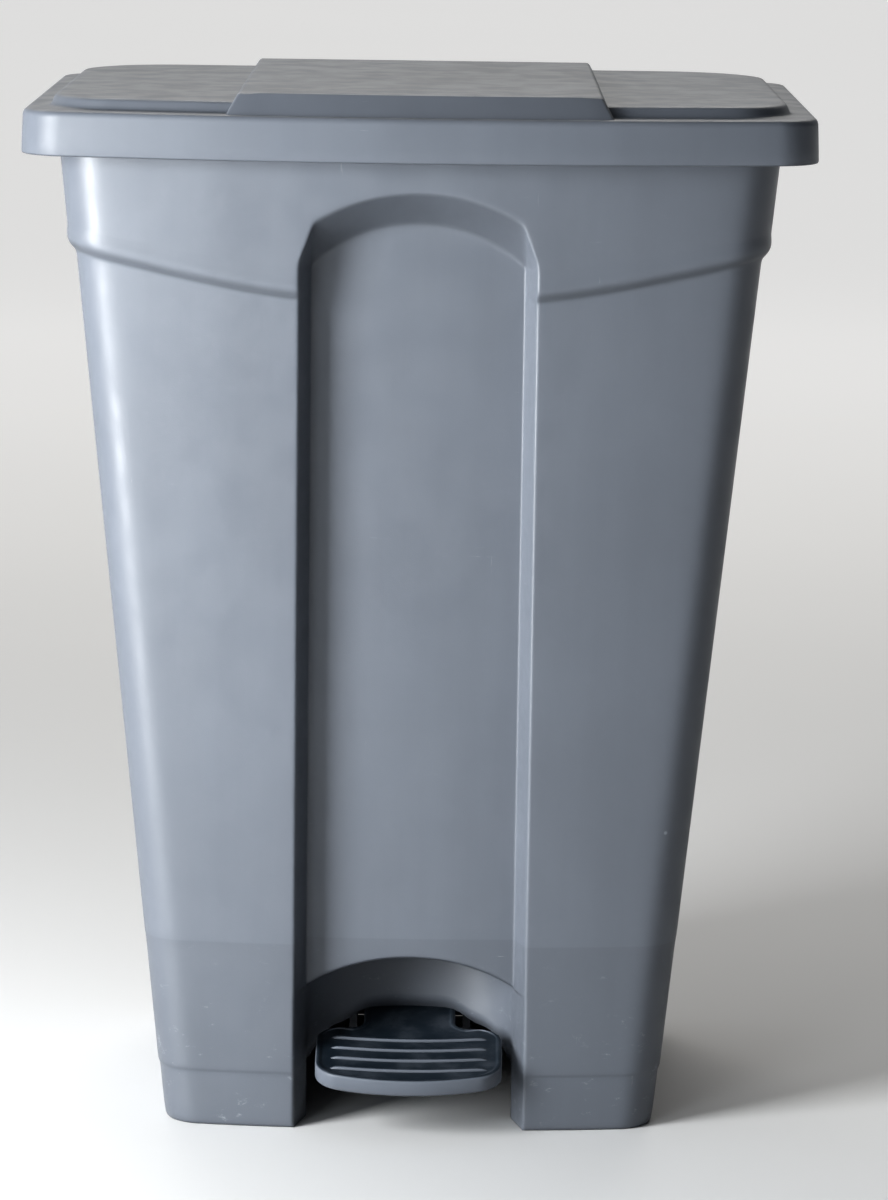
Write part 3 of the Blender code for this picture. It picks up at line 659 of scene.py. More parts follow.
@dataclass(frozen=True)
class BodyShell:
    """The one-piece body: an outer skin with its recess, toe space and rod channel, and an inner skin."""

    wall: float = 3.0
    bow: float = 1100.0
    base_half: float = 161.0
    side_slope: float = 0.0985
    base_front: float = -149.0
    front_slope: float = 0.0479
    base_rear: float = 150.0
    rear_slope: float = 0.035
    corner: float = 28.0
    plinth_top: float = 37.0
    plinth_step: float = 1.3
    mould_line: float = 124.6
    mould_step: float = 0.35
    floor_top: float = 124.0
    lip_low: float = 545.0
    lip_high: float = 571.0
    lip_far_x: float = 212.0
    lip_turn_y: float = -120.0
    lip_fall: float = 270.0
    collar: float = 4.0
    lip_roll: float = 5.0
    collar_top: float = 641.0
    rim_top: float = 652.0
    rim_half: float = 245.0
    rim_front: float = -200.0
    rim_rear: float = 190.0
    rim_corner: float = 34.0
    recess_depth: float = 22.0
    recess_front: float = 74.5
    recess_back: float = 67.5
    arch_out: Flat = (592.5, 612.0)
    arch_clip: Flat = (66.0, 570.0)
    arch_in: Flat = (564.0, 591.0)
    arch_low: Flat = (91.0, 111.0)
    hole_top: float = 69.0
    niche_shoulder: float = -122.0
    niche_back: float = -78.0
    channel_half: float = 22.0
    channel_draft: float = 1.2
    channel_depth: float = 26.0
    channel_bottom: float = 112.0
    smoothing: int = 5

    def half_columns(self) -> list[Column]:
        """Plans the columns of the right half.

        Returns:
            The columns, from the front centre to the rear centre.
        """
        places = {
            "panel": [math.sin(math.pi / 2 * i / 18) for i in range(18)],
            "wall": WALL_STEPS,
            "near": NEAR_STEPS,
            "face": [i / 14 for i in range(1, 14)],
            "corner": [i / 14 for i in range(15)],
            "side": [i / 26 for i in range(1, 26)],
            "rear_corner": [i / 14 for i in range(15)],
            "back": [i / 14 for i in range(1, 14)],
            "channel_near": NEAR_STEPS[4::-1],
            "channel_wall": (0.06, 0.15, 0.3, 0.5, 0.7, 0.85, 0.94, 1.0),
            "channel": (0.9, 0.75, 0.5, 0.25, 0.0),
        }
        return [(zone, place) for zone, steps in places.items() for place in steps]

    def rows(self) -> list[Row]:
        """Plans the rows from the ground to the rim's inner edge.

        Returns:
            The rows, in order.
        """
        plinth, low, out, roll = -self.plinth_step, -self.mould_step, self.collar, self.lip_roll
        rolls = ((0.0, 0.0), (0.06, 0.9), (0.16, 2.1), (0.28, 3.3), (0.4, 4.3), (0.54, 4.9), (0.72, 5.1), (0.88, 4.9))
        panel = (0.0, 0.003, 0.006, *(i / 46 for i in range(1, 45)), 0.982, 0.990, 0.996)
        table = (
            (0, "foot", ((0.0, plinth - 1.6), (0.012, plinth - 0.9), (0.03, plinth - 0.3))),
            (0, "foot", ((part, plinth) for part in (0.06, 0.3, 0.6, 0.86, 0.94, 0.975))),
            (1, "foot", ((0.0, plinth * 0.8), (0.05, plinth * 0.3), (0.1, low), (0.4, low), (0.7, low))),
            (2, "niche", ((i / 7, low) for i in range(7))),
            (3, "ceiling", ((part, low) for part in (0.0, 0.06, 0.15, 0.3, 0.5, 0.7, 0.85, 0.94))),
            (4, "panel", ((part, low) for part in (0.0, 0.05, 0.12, 0.25, 0.45, 0.7, 0.9, 0.96))),
            (5, "panel", ((part, 0.0) for part in panel)),
            (6, "panel", ((part, grow * roll / 5.0) for part, grow in rolls)),
            (7, "panel", ((i / 8, 4.6 - (4.6 - out) * i / 8) for i in range(8))),
            (8, "band", ((part, out) for part in (0.0, 0.04, 0.1, 0.2, 0.35, 0.5, 0.65, 0.8, 0.9, 0.96))),
            (9, "collar", ((part, out) for part in (0.0, 0.03, 0.08, 0.18, 0.35, 0.55, 0.8))),
            (10, "collar", ((0.0, out), (0.12, 4.4), (0.28, 8.0))),
            (10, "rim", ((0.5, 6.0), (0.62, 1.2), (0.75, 0.3), (0.9, 0.0), (0.97, 0.5), (1.0, 1.8), (1.0, 10.0))),
            (10, "rim_inner", ((1.0, 17.5),)),
        )
        return [(level, part, grow, zone) for level, zone, steps in table for part, grow in steps]

    def plan(self, z: float, grow: float) -> RoundedPlan:
        """The body's outline.

        Args:
            z: The height.
            grow: How far it is grown outwards.

        Returns:
            The outline.
        """
        half, corner = self.base_half + self.side_slope * z + grow, self.corner + grow
        front, rear = self.base_front - self.front_slope * z - grow, self.base_rear + self.rear_slope * z + grow
        return RoundedPlan(half, front, rear, corner, corner, self.bow)

    def rim_plan(self, inset: float) -> RoundedPlan:
        """The rim's outline, drawn in by an inset."""
        half, front, rear = self.rim_half - inset, self.rim_front + inset, self.rim_rear - inset
        return RoundedPlan(half, front, rear, self.rim_corner - inset, self.rim_corner - inset, self.bow)

    def lip_height(self, x: float, y: float) -> float:
        """The collar's lower edge.

        Args:
            x: Across the outline.
            y: Along the outline.

        Returns:
            Its height there.
        """
        rise = self.lip_high - self.lip_low
        if y < self.lip_turn_y:
            part = (abs(x) - self.recess_front) / (self.lip_far_x - self.recess_front)
            return self.lip_low + rise * min(max(part, 0.0), 1.0) ** 1.3
        return self.lip_high - rise * smoothstep((y - self.lip_turn_y) / self.lip_fall)

    @staticmethod
    def arch(x: float, half: float, heights: Flat) -> float:
        """A circular arch.

        Args:
            x: Across the arch.
            half: Half its span.
            heights: Its springing and its crown.

        Returns:
            Its height there.
        """
        spring, crown = heights
        rise = crown - spring
        radius = (half**2 + rise**2) / (2 * rise)
        return crown - radius + math.sqrt(radius**2 - min(abs(x), half) ** 2)

    def outer_arch(self, x: float, inner: float) -> float:
        """The recess's top edge on the front face: an arch whose ends drop steeply to the sides.

        Args:
            x: Across the arch.
            inner: The wall thickness for the inner skin, or 0.

        Returns:
            Its height there.
        """
        clip, foot = self.arch_clip
        fall = max(abs(x) - clip - inner, 0.0) / (self.recess_front - clip)
        return self.arch(x, clip, self.arch_out) - (self.arch_out[0] - foot) * min(fall, 1.0) ** 0.8 + inner

    def opening_height(self, x: float) -> float:
        """The top of the hole behind the pedal: high over the neck, lower over the shoulders."""
        reach = abs(x)
        return self.hole_top - 11.0 * smoothstep((reach - 33.0) / 7.0) - 24.0 * smoothstep((reach - 48.0) / 21.0) ** 1.6

    def levels(self, x: float, y: float, recessed: bool, inner: float) -> list[float]:
        """The heights of the feature lines at a column.

        Args:
            x: The column's place across, in the recess or on the outline.
            y: The column's place along the outline.
            recessed: Whether the column lies in the recess.
            inner: The wall thickness when the inner skin is meant, or 0.

        Returns:
            Eleven heights from the ground to the rim, and the rim's top.
        """
        lip = self.lip_height(x, y)
        if recessed:
            low = self.arch(x, self.recess_back, self.arch_low)
            top_in = self.arch(x, self.recess_back, self.arch_in) + inner
            top_out = self.outer_arch(x, inner)
            middle = [20.0, self.opening_height(x), low + inner * 0.9, low + inner]
            if abs(x) >= self.recess_back:
                middle = [self.plinth_top, 44.0, 88.0, self.arch_low[0] + inner]
        else:
            spread = (lip - self.lip_low) / (self.lip_high - self.lip_low)
            foot = self.arch_clip[1]
            top_in = self.arch_in[0] + inner + 22.0 * spread
            clear = smoothstep((abs(x) - self.recess_front - inner) / NEAR_STEPS[-1])
            top_out = foot + inner + (self.arch_out[0] - foot) * clear + 14.0 * spread
            middle = [self.plinth_top, 46.0, 89.0, 92.0]
        return [0.0, *middle, self.mould_line, lip - 1.2, lip + 11.0, top_in, top_out, self.collar_top, self.rim_top]

    def point(self, column: Column, row: Row, inner: float) -> Point:
        """One point of the outer or the inner skin.

        Args:
            column: The column's zone and place.
            row: The row's level, part, roll and zone.
            inner: The wall thickness for the inner skin, or 0 for the outer one.

        Returns:
            The point in millimetres, on the right half.
        """
        zone, place = column
        level, part, grow, kind = row
        if inner:
            grow, kind = 0.0, "collar" if kind.startswith("rim") else kind
        x, y = self.outline_point(self.plan(self.lip_low, 0.0), zone, place, inner)
        recessed = zone in ("panel", "wall")
        marks = self.levels(x, y, recessed, inner)
        z = marks[level] + (marks[level + 1] - marks[level]) * part
        if kind == "rim":
            outline = self.rim_plan(grow)
        elif kind == "rim_inner":
            outline = self.plan(z, -self.wall + 0.8)
        else:
            outline = self.plan(z, grow - inner)
        x, y = self.outline_point(outline, zone, place, inner)
        if recessed:
            y += (1 - (place if zone == "wall" else 0.0)) * self.depth(x, z, row, inner)
        if zone in ("channel", "channel_wall") and z > self.channel_bottom:
            deep = (1.0 if zone == "channel" else place) * smoothstep((z - self.channel_bottom) / 3.0)
            y += (self.base_rear + self.rear_slope * z - self.channel_depth - inner - y) * deep
        return x, y, z

    def depth(self, x: float, z: float, row: Row, inner: float) -> float:
        """How far the recess or the toe space lies behind the front face.

        Args:
            x: The place across.
            z: The height.
            row: The row there.
            inner: The wall thickness for the inner skin, or 0.

        Returns:
            The depth.
        """
        _, part, grow, kind = row
        if inner:
            grow = 0.0
        bend = math.sqrt(1 - min(abs(x) / self.recess_back, 1.0) ** 2)
        back = self.niche_shoulder + (self.niche_back - self.niche_shoulder + inner) * bend + inner * 0.2
        niche = back - (self.base_front - self.front_slope * z + inner)
        depths = {
            "foot": niche,
            "niche": niche,
            "ceiling": niche + (self.recess_depth - niche) * part,
            "panel": self.recess_depth + grow,
            "band": (self.recess_depth + grow) * (1 - part),
        }
        return depths.get(kind, 0.0)

    def outline_point(self, plan: RoundedPlan, zone: str, place: float, inner: float) -> Flat:
        """The place of a column on an outline.

        Args:
            plan: The outline.
            zone: The column's zone.
            place: The column's place in its zone.
            inner: The wall thickness for the inner skin, or 0.

        Returns:
            X and Y on the right half.
        """
        back, front, half = self.recess_back + inner, self.recess_front + inner, self.channel_half + inner
        tangent, lean = plan.front_tangent()
        centre_x, centre_y = plan.corner_centre()
        edge, end = plan.half - plan.rear_radius, plan.rear - plan.rear_radius
        if zone in ("panel", "wall", "near", "face"):
            far = front + NEAR_STEPS[-1]
            starts = {"panel": (0.0, back), "wall": (back, front), "near": (front, front + 1.0), "face": (far, tangent)}
            start, stop = starts[zone]
            x = start + (stop - start) * place
            return x, plan.front_y(x)
        if zone == "corner":
            angle = lean - math.pi / 2 + (math.pi / 2 - lean) * place
            return centre_x + plan.radius * math.cos(angle), centre_y + plan.radius * math.sin(angle)
        if zone == "side":
            return plan.half, centre_y + (end - centre_y) * place
        if zone == "rear_corner":
            angle = math.pi / 2 * place
            return edge + plan.rear_radius * math.cos(angle), end + plan.rear_radius * math.sin(angle)
        across = {
            "back": edge + (half + NEAR_STEPS[4] - edge) * place,
            "channel_near": half + place,
            "channel_wall": half - self.channel_draft * place,
            "channel": (half - self.channel_draft) * place,
        }
        return across[zone], plan.rear

    def skin(self, inner: float) -> np.ndarray:
        """The outer skin or, with a wall thickness, the inner one, with its feature edges rounded.

        Args:
            inner: The wall thickness, or 0.

        Returns:
            A grid of rows by columns by XYZ.
        """
        half = np.array([[self.point(column, row, inner) for column in self.half_columns()] for row in self.rows()])
        grid = np.concatenate([half, half[:, -2:0:-1] * (-1, 1, 1)], axis=1)
        for _ in range(self.smoothing):
            around = (np.roll(grid, 1, axis=1) + np.roll(grid, -1, axis=1)) / 2
            upright = grid.copy()
            upright[1:-1] = (grid[2:] + grid[:-2]) / 2
            grid[1:-1] += 0.5 * (((around + upright) / 2)[1:-1] - grid[1:-1])
        return grid

    def kept(self) -> np.ndarray:
        """Which grid cells are skin: all but the hole behind the pedal.

        Returns:
            For each row and column, whether the cell after it is skin.
        """
        zones = [zone for zone, _ in self.half_columns()]
        panel = np.array([zone == "panel" for zone in zones + zones[-2:0:-1]])
        foot = np.array([row[3] == "foot" for row in self.rows()[:-1]])
        return ~np.outer(foot, panel & np.roll(panel, -1))

    def build(self, material: Material) -> Piece:
        """Builds the shell from its two skins and the edges between them.

        Args:
            material: Its finish.

        Returns:
            The object.
        """
        outer, inner = self.skin(0.0), self.skin(self.wall)
        n_rows, n_cols = outer.shape[:2]
        offset = n_rows * n_cols
        faces: list[tuple[int, ...]] = []
        edges: dict[tuple[int, int], None] = {}
        for j, i in np.argwhere(self.kept()).tolist():
            k = (i + 1) % n_cols
            quad = (j * n_cols + i, j * n_cols + k, (j + 1) * n_cols + k, (j + 1) * n_cols + i)
            faces += [quad, tuple(offset + v for v in reversed(quad))]
            edges.update(dict.fromkeys(zip(quad, quad[1:] + quad[:1])))
        faces += [(b, a, offset + a, offset + b) for a, b in edges if (b, a) not in edges]
        return shell_mesh("body_shell", np.concatenate([outer.reshape(-1, 3), inner.reshape(-1, 3)]), faces, material)

    def floor_plate(self, material: Material) -> Piece:
        """Builds the floor between the inner walls, over the mechanism.

        Args:
            material: Its finish.

        Returns:
            The object.
        """
        z, gap = self.floor_top, self.wall - 0.4
        channel_y = self.base_rear + self.rear_slope * z - self.channel_depth - gap
        ring = []
        for zone, place in self.half_columns():
            x, y = self.outline_point(self.plan(z, -gap), zone, place, gap)
            if zone in ("panel", "wall"):
                y += (1 - (place if zone == "wall" else 0.0)) * self.recess_depth
            if zone in ("channel", "channel_wall"):
                y += (channel_y - y) * (1.0 if zone == "channel" else place)
            ring.append((x, y))
        rings = [[(x, y, height) for x, y in mirrored(ring)] for height in (z - self.wall, z - 0.6, z)]
        return rings_mesh("bin_floor", rings, material)


def build_body(material: Material) -> None:
    """Builds the body, its floor and its hinge ears.

    Args:
        material: Their finish.
    """
    shell, hinge = BodyShell(), Hinge()
    settle(shell.build(material), Body.BIN, "body_plastic", "bin_body")
    settle(shell.floor_plate(material), Body.BIN, "body_plastic")
    for side in Side:
        settle(hinge.ears(side, material), Body.BIN, "body_plastic")


# ---- the lid and its hinge


@dataclass(frozen=True)
class Hinge:
    """Ears on the body and knuckles on the lid, about one axis behind the back wall."""

    y: float = 196.0
    z: float = 636.0
    radius: float = 9.0
    middle: float = 114.0
    spread: float = 15.0
    ear: float = 4.0
    arm: float = 10.0
    bridge: float = 19.0

    def ears(self, side: Side, material: Material) -> Piece:
        """Builds the two ears on one side of the body.

        Args:
            side: The side of the bin.
            material: Their finish.

        Returns:
            The object.
        """
        builders = []
        middle, reach = side.value * self.middle, self.radius - 0.6
        for x in (middle - self.spread, middle + self.spread):
            low, high = x - self.ear, x + self.ear
            builders.append(add_box((low, 168.0, self.z - reach), (high, self.y, self.z + reach)))
            builders.append(add_box((low, 167.0, self.z - 4.0), (high, 188.5, 649.0)))
            builders.append(add_rod(self.radius - 0.4, (low, self.y, self.z), (high, self.y, self.z)))
        builders.append(add_box((middle - self.bridge, 168.0, 646.0), (middle + self.bridge, 182.0, 649.5)))
        return solid_pieces(f"hinge_ears_{side.name.lower()}", builders, material, 0.7)

    def knuckle(self, side: Side, material: Material) -> Piece:
        """Builds the lid's knuckle on one side, on its arm.

        Args:
            side: The side of the bin.
            material: Its finish.

        Returns:
            The object.
        """
        low, high = side.value * self.middle - self.arm, side.value * self.middle + self.arm
        arm = add_box((low, 190.5, self.z), (high, 199.5, 658.5))
        barrel = add_rod(self.radius, (low, self.y, self.z), (high, self.y, self.z))
        return solid_pieces(f"lid_knuckle_{side.name.lower()}", [arm, barrel], material, 0.8)


@dataclass(frozen=True)
class LidCover:
    """The lid: a skirt, a ledge, a plateau and the raised panel, with an even wall."""

    half: float = 250.0
    front: float = -205.0
    rear: float = 195.0
    bow: float = 1100.0
    corner: float = 33.0
    plateau_corners: Flat = (44.0, 62.0)
    skirt_bottom: float = 632.0
    rim_top: float = 660.0
    plateau_top: float = 667.4
    crown: float = 1.0
    wall: float = 2.5
    notch: Point = (92.0, 136.0, 650.0)
    panel_base: Point = (121.5, -201.0, 175.5)
    panel_field: Point = (113.0, -187.0, 166.0)
    panel_top: float = 673.0
    panel_round: float = 1.8
    lift_pin: Flat = (165.5, 614.64)

    def ring(self, inset: float, z: float, radii: Flat) -> list[Point]:
        """A ring of the lid at a height, lifted over the notches for the hinge.

        Args:
            inset: How far it is drawn in.
            z: Its height.
            radii: Its front and rear corner radii.

        Returns:
            Its points.
        """
        plan = RoundedPlan(self.half - inset, self.front + inset, self.rear - inset, *radii, self.bow)
        tangent, lean = plan.front_tangent()
        start, end, edge = plan.corner_centre()[1], plan.rear - plan.rear_radius, plan.half - plan.rear_radius
        low, high, top = self.notch
        right = [(tangent * i / 26, plan.front_y(tangent * i / 26)) for i in range(26)]
        right += arc_points(plan.corner_centre(), plan.radius, -90 + math.degrees(lean), 0, 18)
        right += [(plan.half, start + (end - start) * i / 14) for i in range(1, 14)]
        right += arc_points((edge, end), plan.rear_radius, 0, 90, 18)
        stops = ((edge + high) / 2, high + 3, high, high - 0.4, (low + high) / 2)
        stops += (low + 0.4, low, low - 3, 60.0, 30.0, 0.0)
        right += [(x, plan.rear) for x in stops]
        lift = [y > 150.0 and low + 0.2 < abs(x) < high - 0.2 for x, y in mirrored(right)]
        return [(x, y, max(z, top) if lifted else z) for (x, y), lifted in zip(mirrored(right), lift)]

    @staticmethod
    def inward(ring: list[Point], part: float, z: float) -> list[Point]:
        """A ring drawn towards the lid's middle, for the nearly flat fields above and below."""
        return [(x * (1 - part), y * (1 - part), z) for x, y, _ in ring]

    def cover(self, material: Material) -> Piece:
        """Builds the lid's skin from the middle of its underside, round the skirt, to the middle of its top.

        Args:
            material: Its finish.

        Returns:
            The object.
        """
        edge, inside, field = (self.corner,) * 2, (self.corner - self.wall,) * 2, self.plateau_corners
        top, skirt = self.rim_top, self.skirt_bottom
        under, ceiling = top - self.wall, self.plateau_top - self.wall
        profile = [(22.0, ceiling, field), (20.5, under + 1.2, field), (19.0, under, field), (6.0, under, inside)]
        profile += [(3.6, under - 0.6, inside), (2.6, under - 2.5, inside), (2.4, skirt + 1.0, inside)]
        rounding = ((2.0, 0.3), (1.2, 0.0), (0.5, 0.3), (0.1, 1.2), (0.3, 9.0))
        profile += [(inset, skirt + rise, edge) for inset, rise in rounding]
        shoulder = ((0.9, 4.5), (1.0, 3.4), (1.3, 2.2), (1.9, 1.1), (2.8, 0.4), (4.2, 0.0))
        profile += [(inset, top - drop, edge) for inset, drop in shoulder]
        profile += [(9.0, top + 0.2, (38.0, 44.0)), (14.0, top + 0.5, (42.0, 54.0))]
        plateau = ((16.0, 0.8), (17.0, 1.4), (17.8, 3.0), (18.6, 5.2), (19.4, 6.4), (20.6, 7.1), (22.5, 7.4))
        profile += [(inset, top + rise, field) for inset, rise in plateau]
        skirted = [self.ring(*step) for step in profile]
        rings = [self.inward(skirted[0], part, ceiling) for part in (0.97, 0.7, 0.35)] + skirted
        for part in (0.03, 0.08, 0.18, 0.32, 0.5, 0.7, 0.85, 0.97):
            rings.append(self.inward(skirted[-1], part, self.plateau_top + self.crown * smoothstep(part * 1.4)))
        return rings_mesh("lid_cover", rings, material)

    def panel(self, material: Material) -> Piece:
        """Builds the raised panel down the middle: a flat frustum with soft edges.

        Args:
            material: Its finish.

        Returns:
            The object.
        """
        bm = bmesh.new()
        layers = []
        for (half, front, rear), z in ((self.panel_base, self.rim_top - 2.2), (self.panel_field, self.panel_top)):
            corners = [(half * i / 8, front + (half * i / 8) ** 2 / (2 * self.bow), z) for i in range(-8, 9)]
            corners += [(half, rear, z), (-half, rear, z)]
            layers.append([bm.verts.new(Vector(corner) * MM) for corner in corners])
        low, high = layers
        for i in range(len(low)):
            j = (i + 1) % len(low)
            bm.faces.new((low[i], low[j], high[j], high[i]))
        bm.faces.new(reversed(low))
        bm.faces.new(high)
        ends = {high[0], *high[16:]}
        upper = [edge for edge in bm.edges if all(vert in high for vert in edge.verts) or ends & set(edge.verts)]
        bmesh.ops.bevel(bm, geom=upper, offset=self.panel_round * MM, segments=4, profile=0.5, affect="EDGES")
        bmesh.ops.recalc_face_normals(bm, faces=bm.faces)
        piece = link_bmesh("lid_panel", bm)
        piece.data.materials.append(material)
        piece.data.shade_smooth()
        piece.data.set_sharp_from_angle(angle=math.radians(30))
        return piece

    def lift_lug(self, material: Material) -> Piece:
        """Builds the two cheeks under the lid that carry the push rod's pin.

        Args:
            material: Their finish.

        Returns:
            The object.
        """
        y, z = self.lift_pin
        builders = []
        for side in Side:
            low, high = sorted((side.value * 7.0, side.value * 12.0))
            builders.append(add_box((low, y - 8, z), (high, y + 8, 668.0)))
            builders.append(add_rod(7.8, (low, y, z), (high, y, z)))
        builders.append(add_box((-12.0, y - 8, 652.0), (12.0, y + 8, 666.0)))
        return solid_pieces("lid_lift_lug", builders, material, 0.7)


def build_lid(material: Material) -> None:
    """Builds the lid, its knuckles and its lift lug.

    Args:
        material: Their finish.
    """
    lid, hinge = LidCover(), Hinge()
    settle(lid.cover(material), Body.LID, "lid_plastic", "lid")
    settle(lid.panel(material), Body.LID, "lid_plastic")
    settle(lid.lift_lug(material), Body.LID, "lid_plastic")
    for side in Side:
        settle(hinge.knuckle(side, material), Body.LID, "lid_plastic")


# ---- the pedal


@dataclass(frozen=True)
class TreadPedal:
    """The pedal: a D-shaped pad with shoulders and a neck, hollow below, and its tread ribs."""

    tip_y: float = -181.0
    tip_z: float = 42.0
    slope: float = math.radians(12.6)
    thickness: float = 11.0
    skin: float = 4.0
    half: float = 60.5
    turn: float = 46.0
    neck: float = 30.0
    neck_end: float = 124.0
    ribs: int = 4
    rib_first: float = 15.0
    rib_pitch: float = 14.0
    rib_half: float = 50.0
    rib_radius: float = 1.5
    rib_bow: float = 4.2
    rib_sides: int = 12
    rib_steps: int = 33
    front_bow: float = 0.0034
    seat_y: float = -82.0
    seat_length: float = 36.0
    seat_width: float = 22.0
    lever_top: float = 54.9
    lever_top_y: float = -100.0
    lever_slope: float = 0.036

    def outline(self, inset: float) -> list[Flat]:
        """The pedal from above.

        Args:
            inset: How far it is drawn in.

        Returns:
            The outline's points.
        """
        half, neck, turn, end = self.half - inset, self.neck - inset, self.turn - inset, self.neck_end - inset
        lean = math.atan(2 * self.front_bow * turn)
        radius = (half - turn) / (1 - math.sin(lean))
        right = [(turn * i / 12, self.front_bow * (turn * i / 12) ** 2 + inset) for i in range(12)]
        middle = (turn - radius * math.sin(lean), self.front_bow * turn**2 + inset + radius * math.cos(lean))
        right += arc_points(middle, radius, math.degrees(lean) - 90, 0, 16)
        right += [(half, 36.0), (half, 48.0)]
        right += arc_points((half - 14.0, 60.0), 14.0, 0, 80, 12)
        right += arc_points((neck + 9.0 + inset, 84.5 - inset * 0.2), 9.0 + inset, 262, 180, 12)
        return mirrored([*right, (neck, end), (0.0, end)])

    def to_place(self) -> Matrix:
        """The turn and shift from the flat drawing to the pedal's rest place, in millimetres."""
        return Matrix.Translation((0.0, self.tip_y, self.tip_z)) @ Matrix.Rotation(self.slope, 4, "X")

    def pad(self, material: Material) -> Piece:
        """Builds the pad and neck from the ceiling of their hollow, round the edge, to the top.

        Args:
            material: Their finish.

        Returns:
            The object.
        """
        ceiling, bottom, place = -self.skin, -self.thickness, self.to_place()
        section = (
            (3.4, ceiling), (2.8, ceiling - 0.6), (2.5, bottom + 0.6), (2.0, bottom), (0.8, bottom),
            (0.2, bottom + 0.5), (0.0, bottom + 1.4), (0.0, -5.0), (0.0, -1.6), (0.25, -0.8),
            (0.8, -0.25), (1.6, 0.0), (2.6, 0.0), (3.2, -0.35), (3.9, -0.7), (4.8, -0.8),
        )
        rings = [[tuple(place @ Vector((x, y, height))) for x, y in self.outline(inset)] for inset, height in section]
        return rings_mesh("pedal_pad", rings, material)

    def rib_tree(self) -> bpy.types.NodeTree:
        """The node tree that lays the tread ribs: one bowed bar, repeated up the pad.

        Returns:
            The tree.
        """
        tree = bpy.data.node_groups.new("tread_ribs", "GeometryNodeTree")
        kinds = {name: "Float" for name in ("Half Length", "Bow", "Pitch", "Bar Radius")}
        for name, kind in {**kinds, "Count": "Int", "Finish": "Material"}.items():
            tree.interface.new_socket(name, in_out="INPUT", socket_type=f"NodeSocket{kind}")
        tree.interface.new_socket("Geometry", in_out="OUTPUT", socket_type="NodeSocketGeometry")
        pen = NodePen(tree)
        given = pen.add("NodeGroupInput").outputs
        half = given["Half Length"]
        start, end = (pen.add("ShaderNodeCombineXYZ", X=x).outputs[0] for x in (pen.product(half, -1.0), half))
        bar = pen.add("GeometryNodeCurvePrimitiveLine", Start=start, End=end).outputs[0]
        fine = pen.add("GeometryNodeResampleCurve", Curve=bar, Count=self.rib_steps).outputs[0]
        across = pen.split(pen.add("GeometryNodeInputPosition").outputs[0])["X"]
        part = pen.math("DIVIDE", across, half)
        squared = pen.product(part, part)
        drop = pen.product(pen.math("POWER", squared, 12.0), -0.0016)
        shift = pen.add("ShaderNodeCombineXYZ", Y=pen.product(squared, given["Bow"]), Z=drop).outputs[0]
        bent = pen.add("GeometryNodeSetPosition", Geometry=fine, Offset=shift).outputs[0]
        circle = {"Resolution": self.rib_sides, "Radius": given["Bar Radius"]}
        ring = pen.add("GeometryNodeCurvePrimitiveCircle", **circle).outputs[0]
        tube = pen.add("GeometryNodeCurveToMesh", Curve=bent, Profile_Curve=ring, Fill_Caps=True).outputs[0]
        step = pen.add("ShaderNodeCombineXYZ", Y=given["Pitch"]).outputs[0]
        spots = pen.add("GeometryNodeMeshLine", {"mode": "OFFSET"}, Count=given["Count"], Offset=step).outputs[0]
        copies = pen.add("GeometryNodeInstanceOnPoints", Points=spots, Instance=tube).outputs[0]
        real = pen.add("GeometryNodeRealizeInstances", Geometry=copies).outputs[0]
        smooth = pen.add("GeometryNodeSetShadeSmooth", Geometry=real).outputs[0]
        dressed = pen.add("GeometryNodeSetMaterial", Geometry=smooth, Material=given["Finish"]).outputs[0]
        pen.add("NodeGroupOutput", Geometry=dressed)
        return tree

    def tread(self, material: Material) -> Piece:
        """Builds the tread ribs with their node tree and lays them on the pad.

        Args:
            material: Their finish.

        Returns:
            The object.
        """
        lengths = {"Half Length": self.rib_half, "Bow": self.rib_bow}
        lengths |= {"Pitch": self.rib_pitch, "Bar Radius": self.rib_radius}
        values = {name: length * MM for name, length in lengths.items()}
        piece = run_tree("pedal_tread_ribs", self.rib_tree(), {**values, "Count": self.ribs, "Finish": material})
        place = self.to_place()
        place.translation *= MM
        piece.data.transform(place @ Matrix.Translation((0.0, self.rib_first * MM, -0.3 * MM)))
        return piece

    def wedge(self, bm: bmesh.types.BMesh) -> None:
        """Adds the wedge between the lever and the neck.

        Args:
            bm: The bmesh to add to, in millimetres.
        """
        for vert in bmesh.ops.create_cube(bm, size=1.0)["verts"]:
            y = self.seat_y + vert.co.y * self.seat_length
            under = self.lever_top - self.lever_slope * (y - self.lever_top_y)
            top = self.tip_z + math.tan(self.slope) * (y - self.tip_y) - self.skin / 2
            vert.co = Vector((vert.co.x * self.seat_width, y, top if vert.co.z > 0 else under))


def run_tree(name: str, tree: bpy.types.NodeTree, values: dict[str, object]) -> Piece:
    """Evaluates a geometry tree into a plain mesh.

    Args:
        name: The piece's name.
        tree: The geometry node tree.
        values: Its inputs by name.

    Returns:
        The object with the tree's result and no modifier.
    """
    holder = link_piece(f"{name}_holder", bpy.data.meshes.new(f"{name}_holder"))
    step = holder.modifiers.new("tree", "NODES")
    step.node_group = tree
    for item in tree.interface.items_tree:
        if item.item_type == "SOCKET" and item.in_out == "INPUT":
            step[item.identifier] = values[item.name]
    piece = frozen(holder, name)
    bpy.data.objects.remove(holder, do_unlink=True)
    return piece


def build_pedal(material: Material) -> None:
    """Builds the pedal's pad, ribs and seat.

    Args:
        material: Their finish.
    """
    pedal = TreadPedal()
    settle(pedal.pad(material), Body.TREADLE, "pedal_plastic", "pedal")
    settle(pedal.tread(material), Body.TREADLE, "pedal_plastic")
    settle(solid_pieces("pedal_seat", [pedal.wedge], material, 0.8), Body.TREADLE, "pedal_plastic")


# ---- the CAD pieces that stay


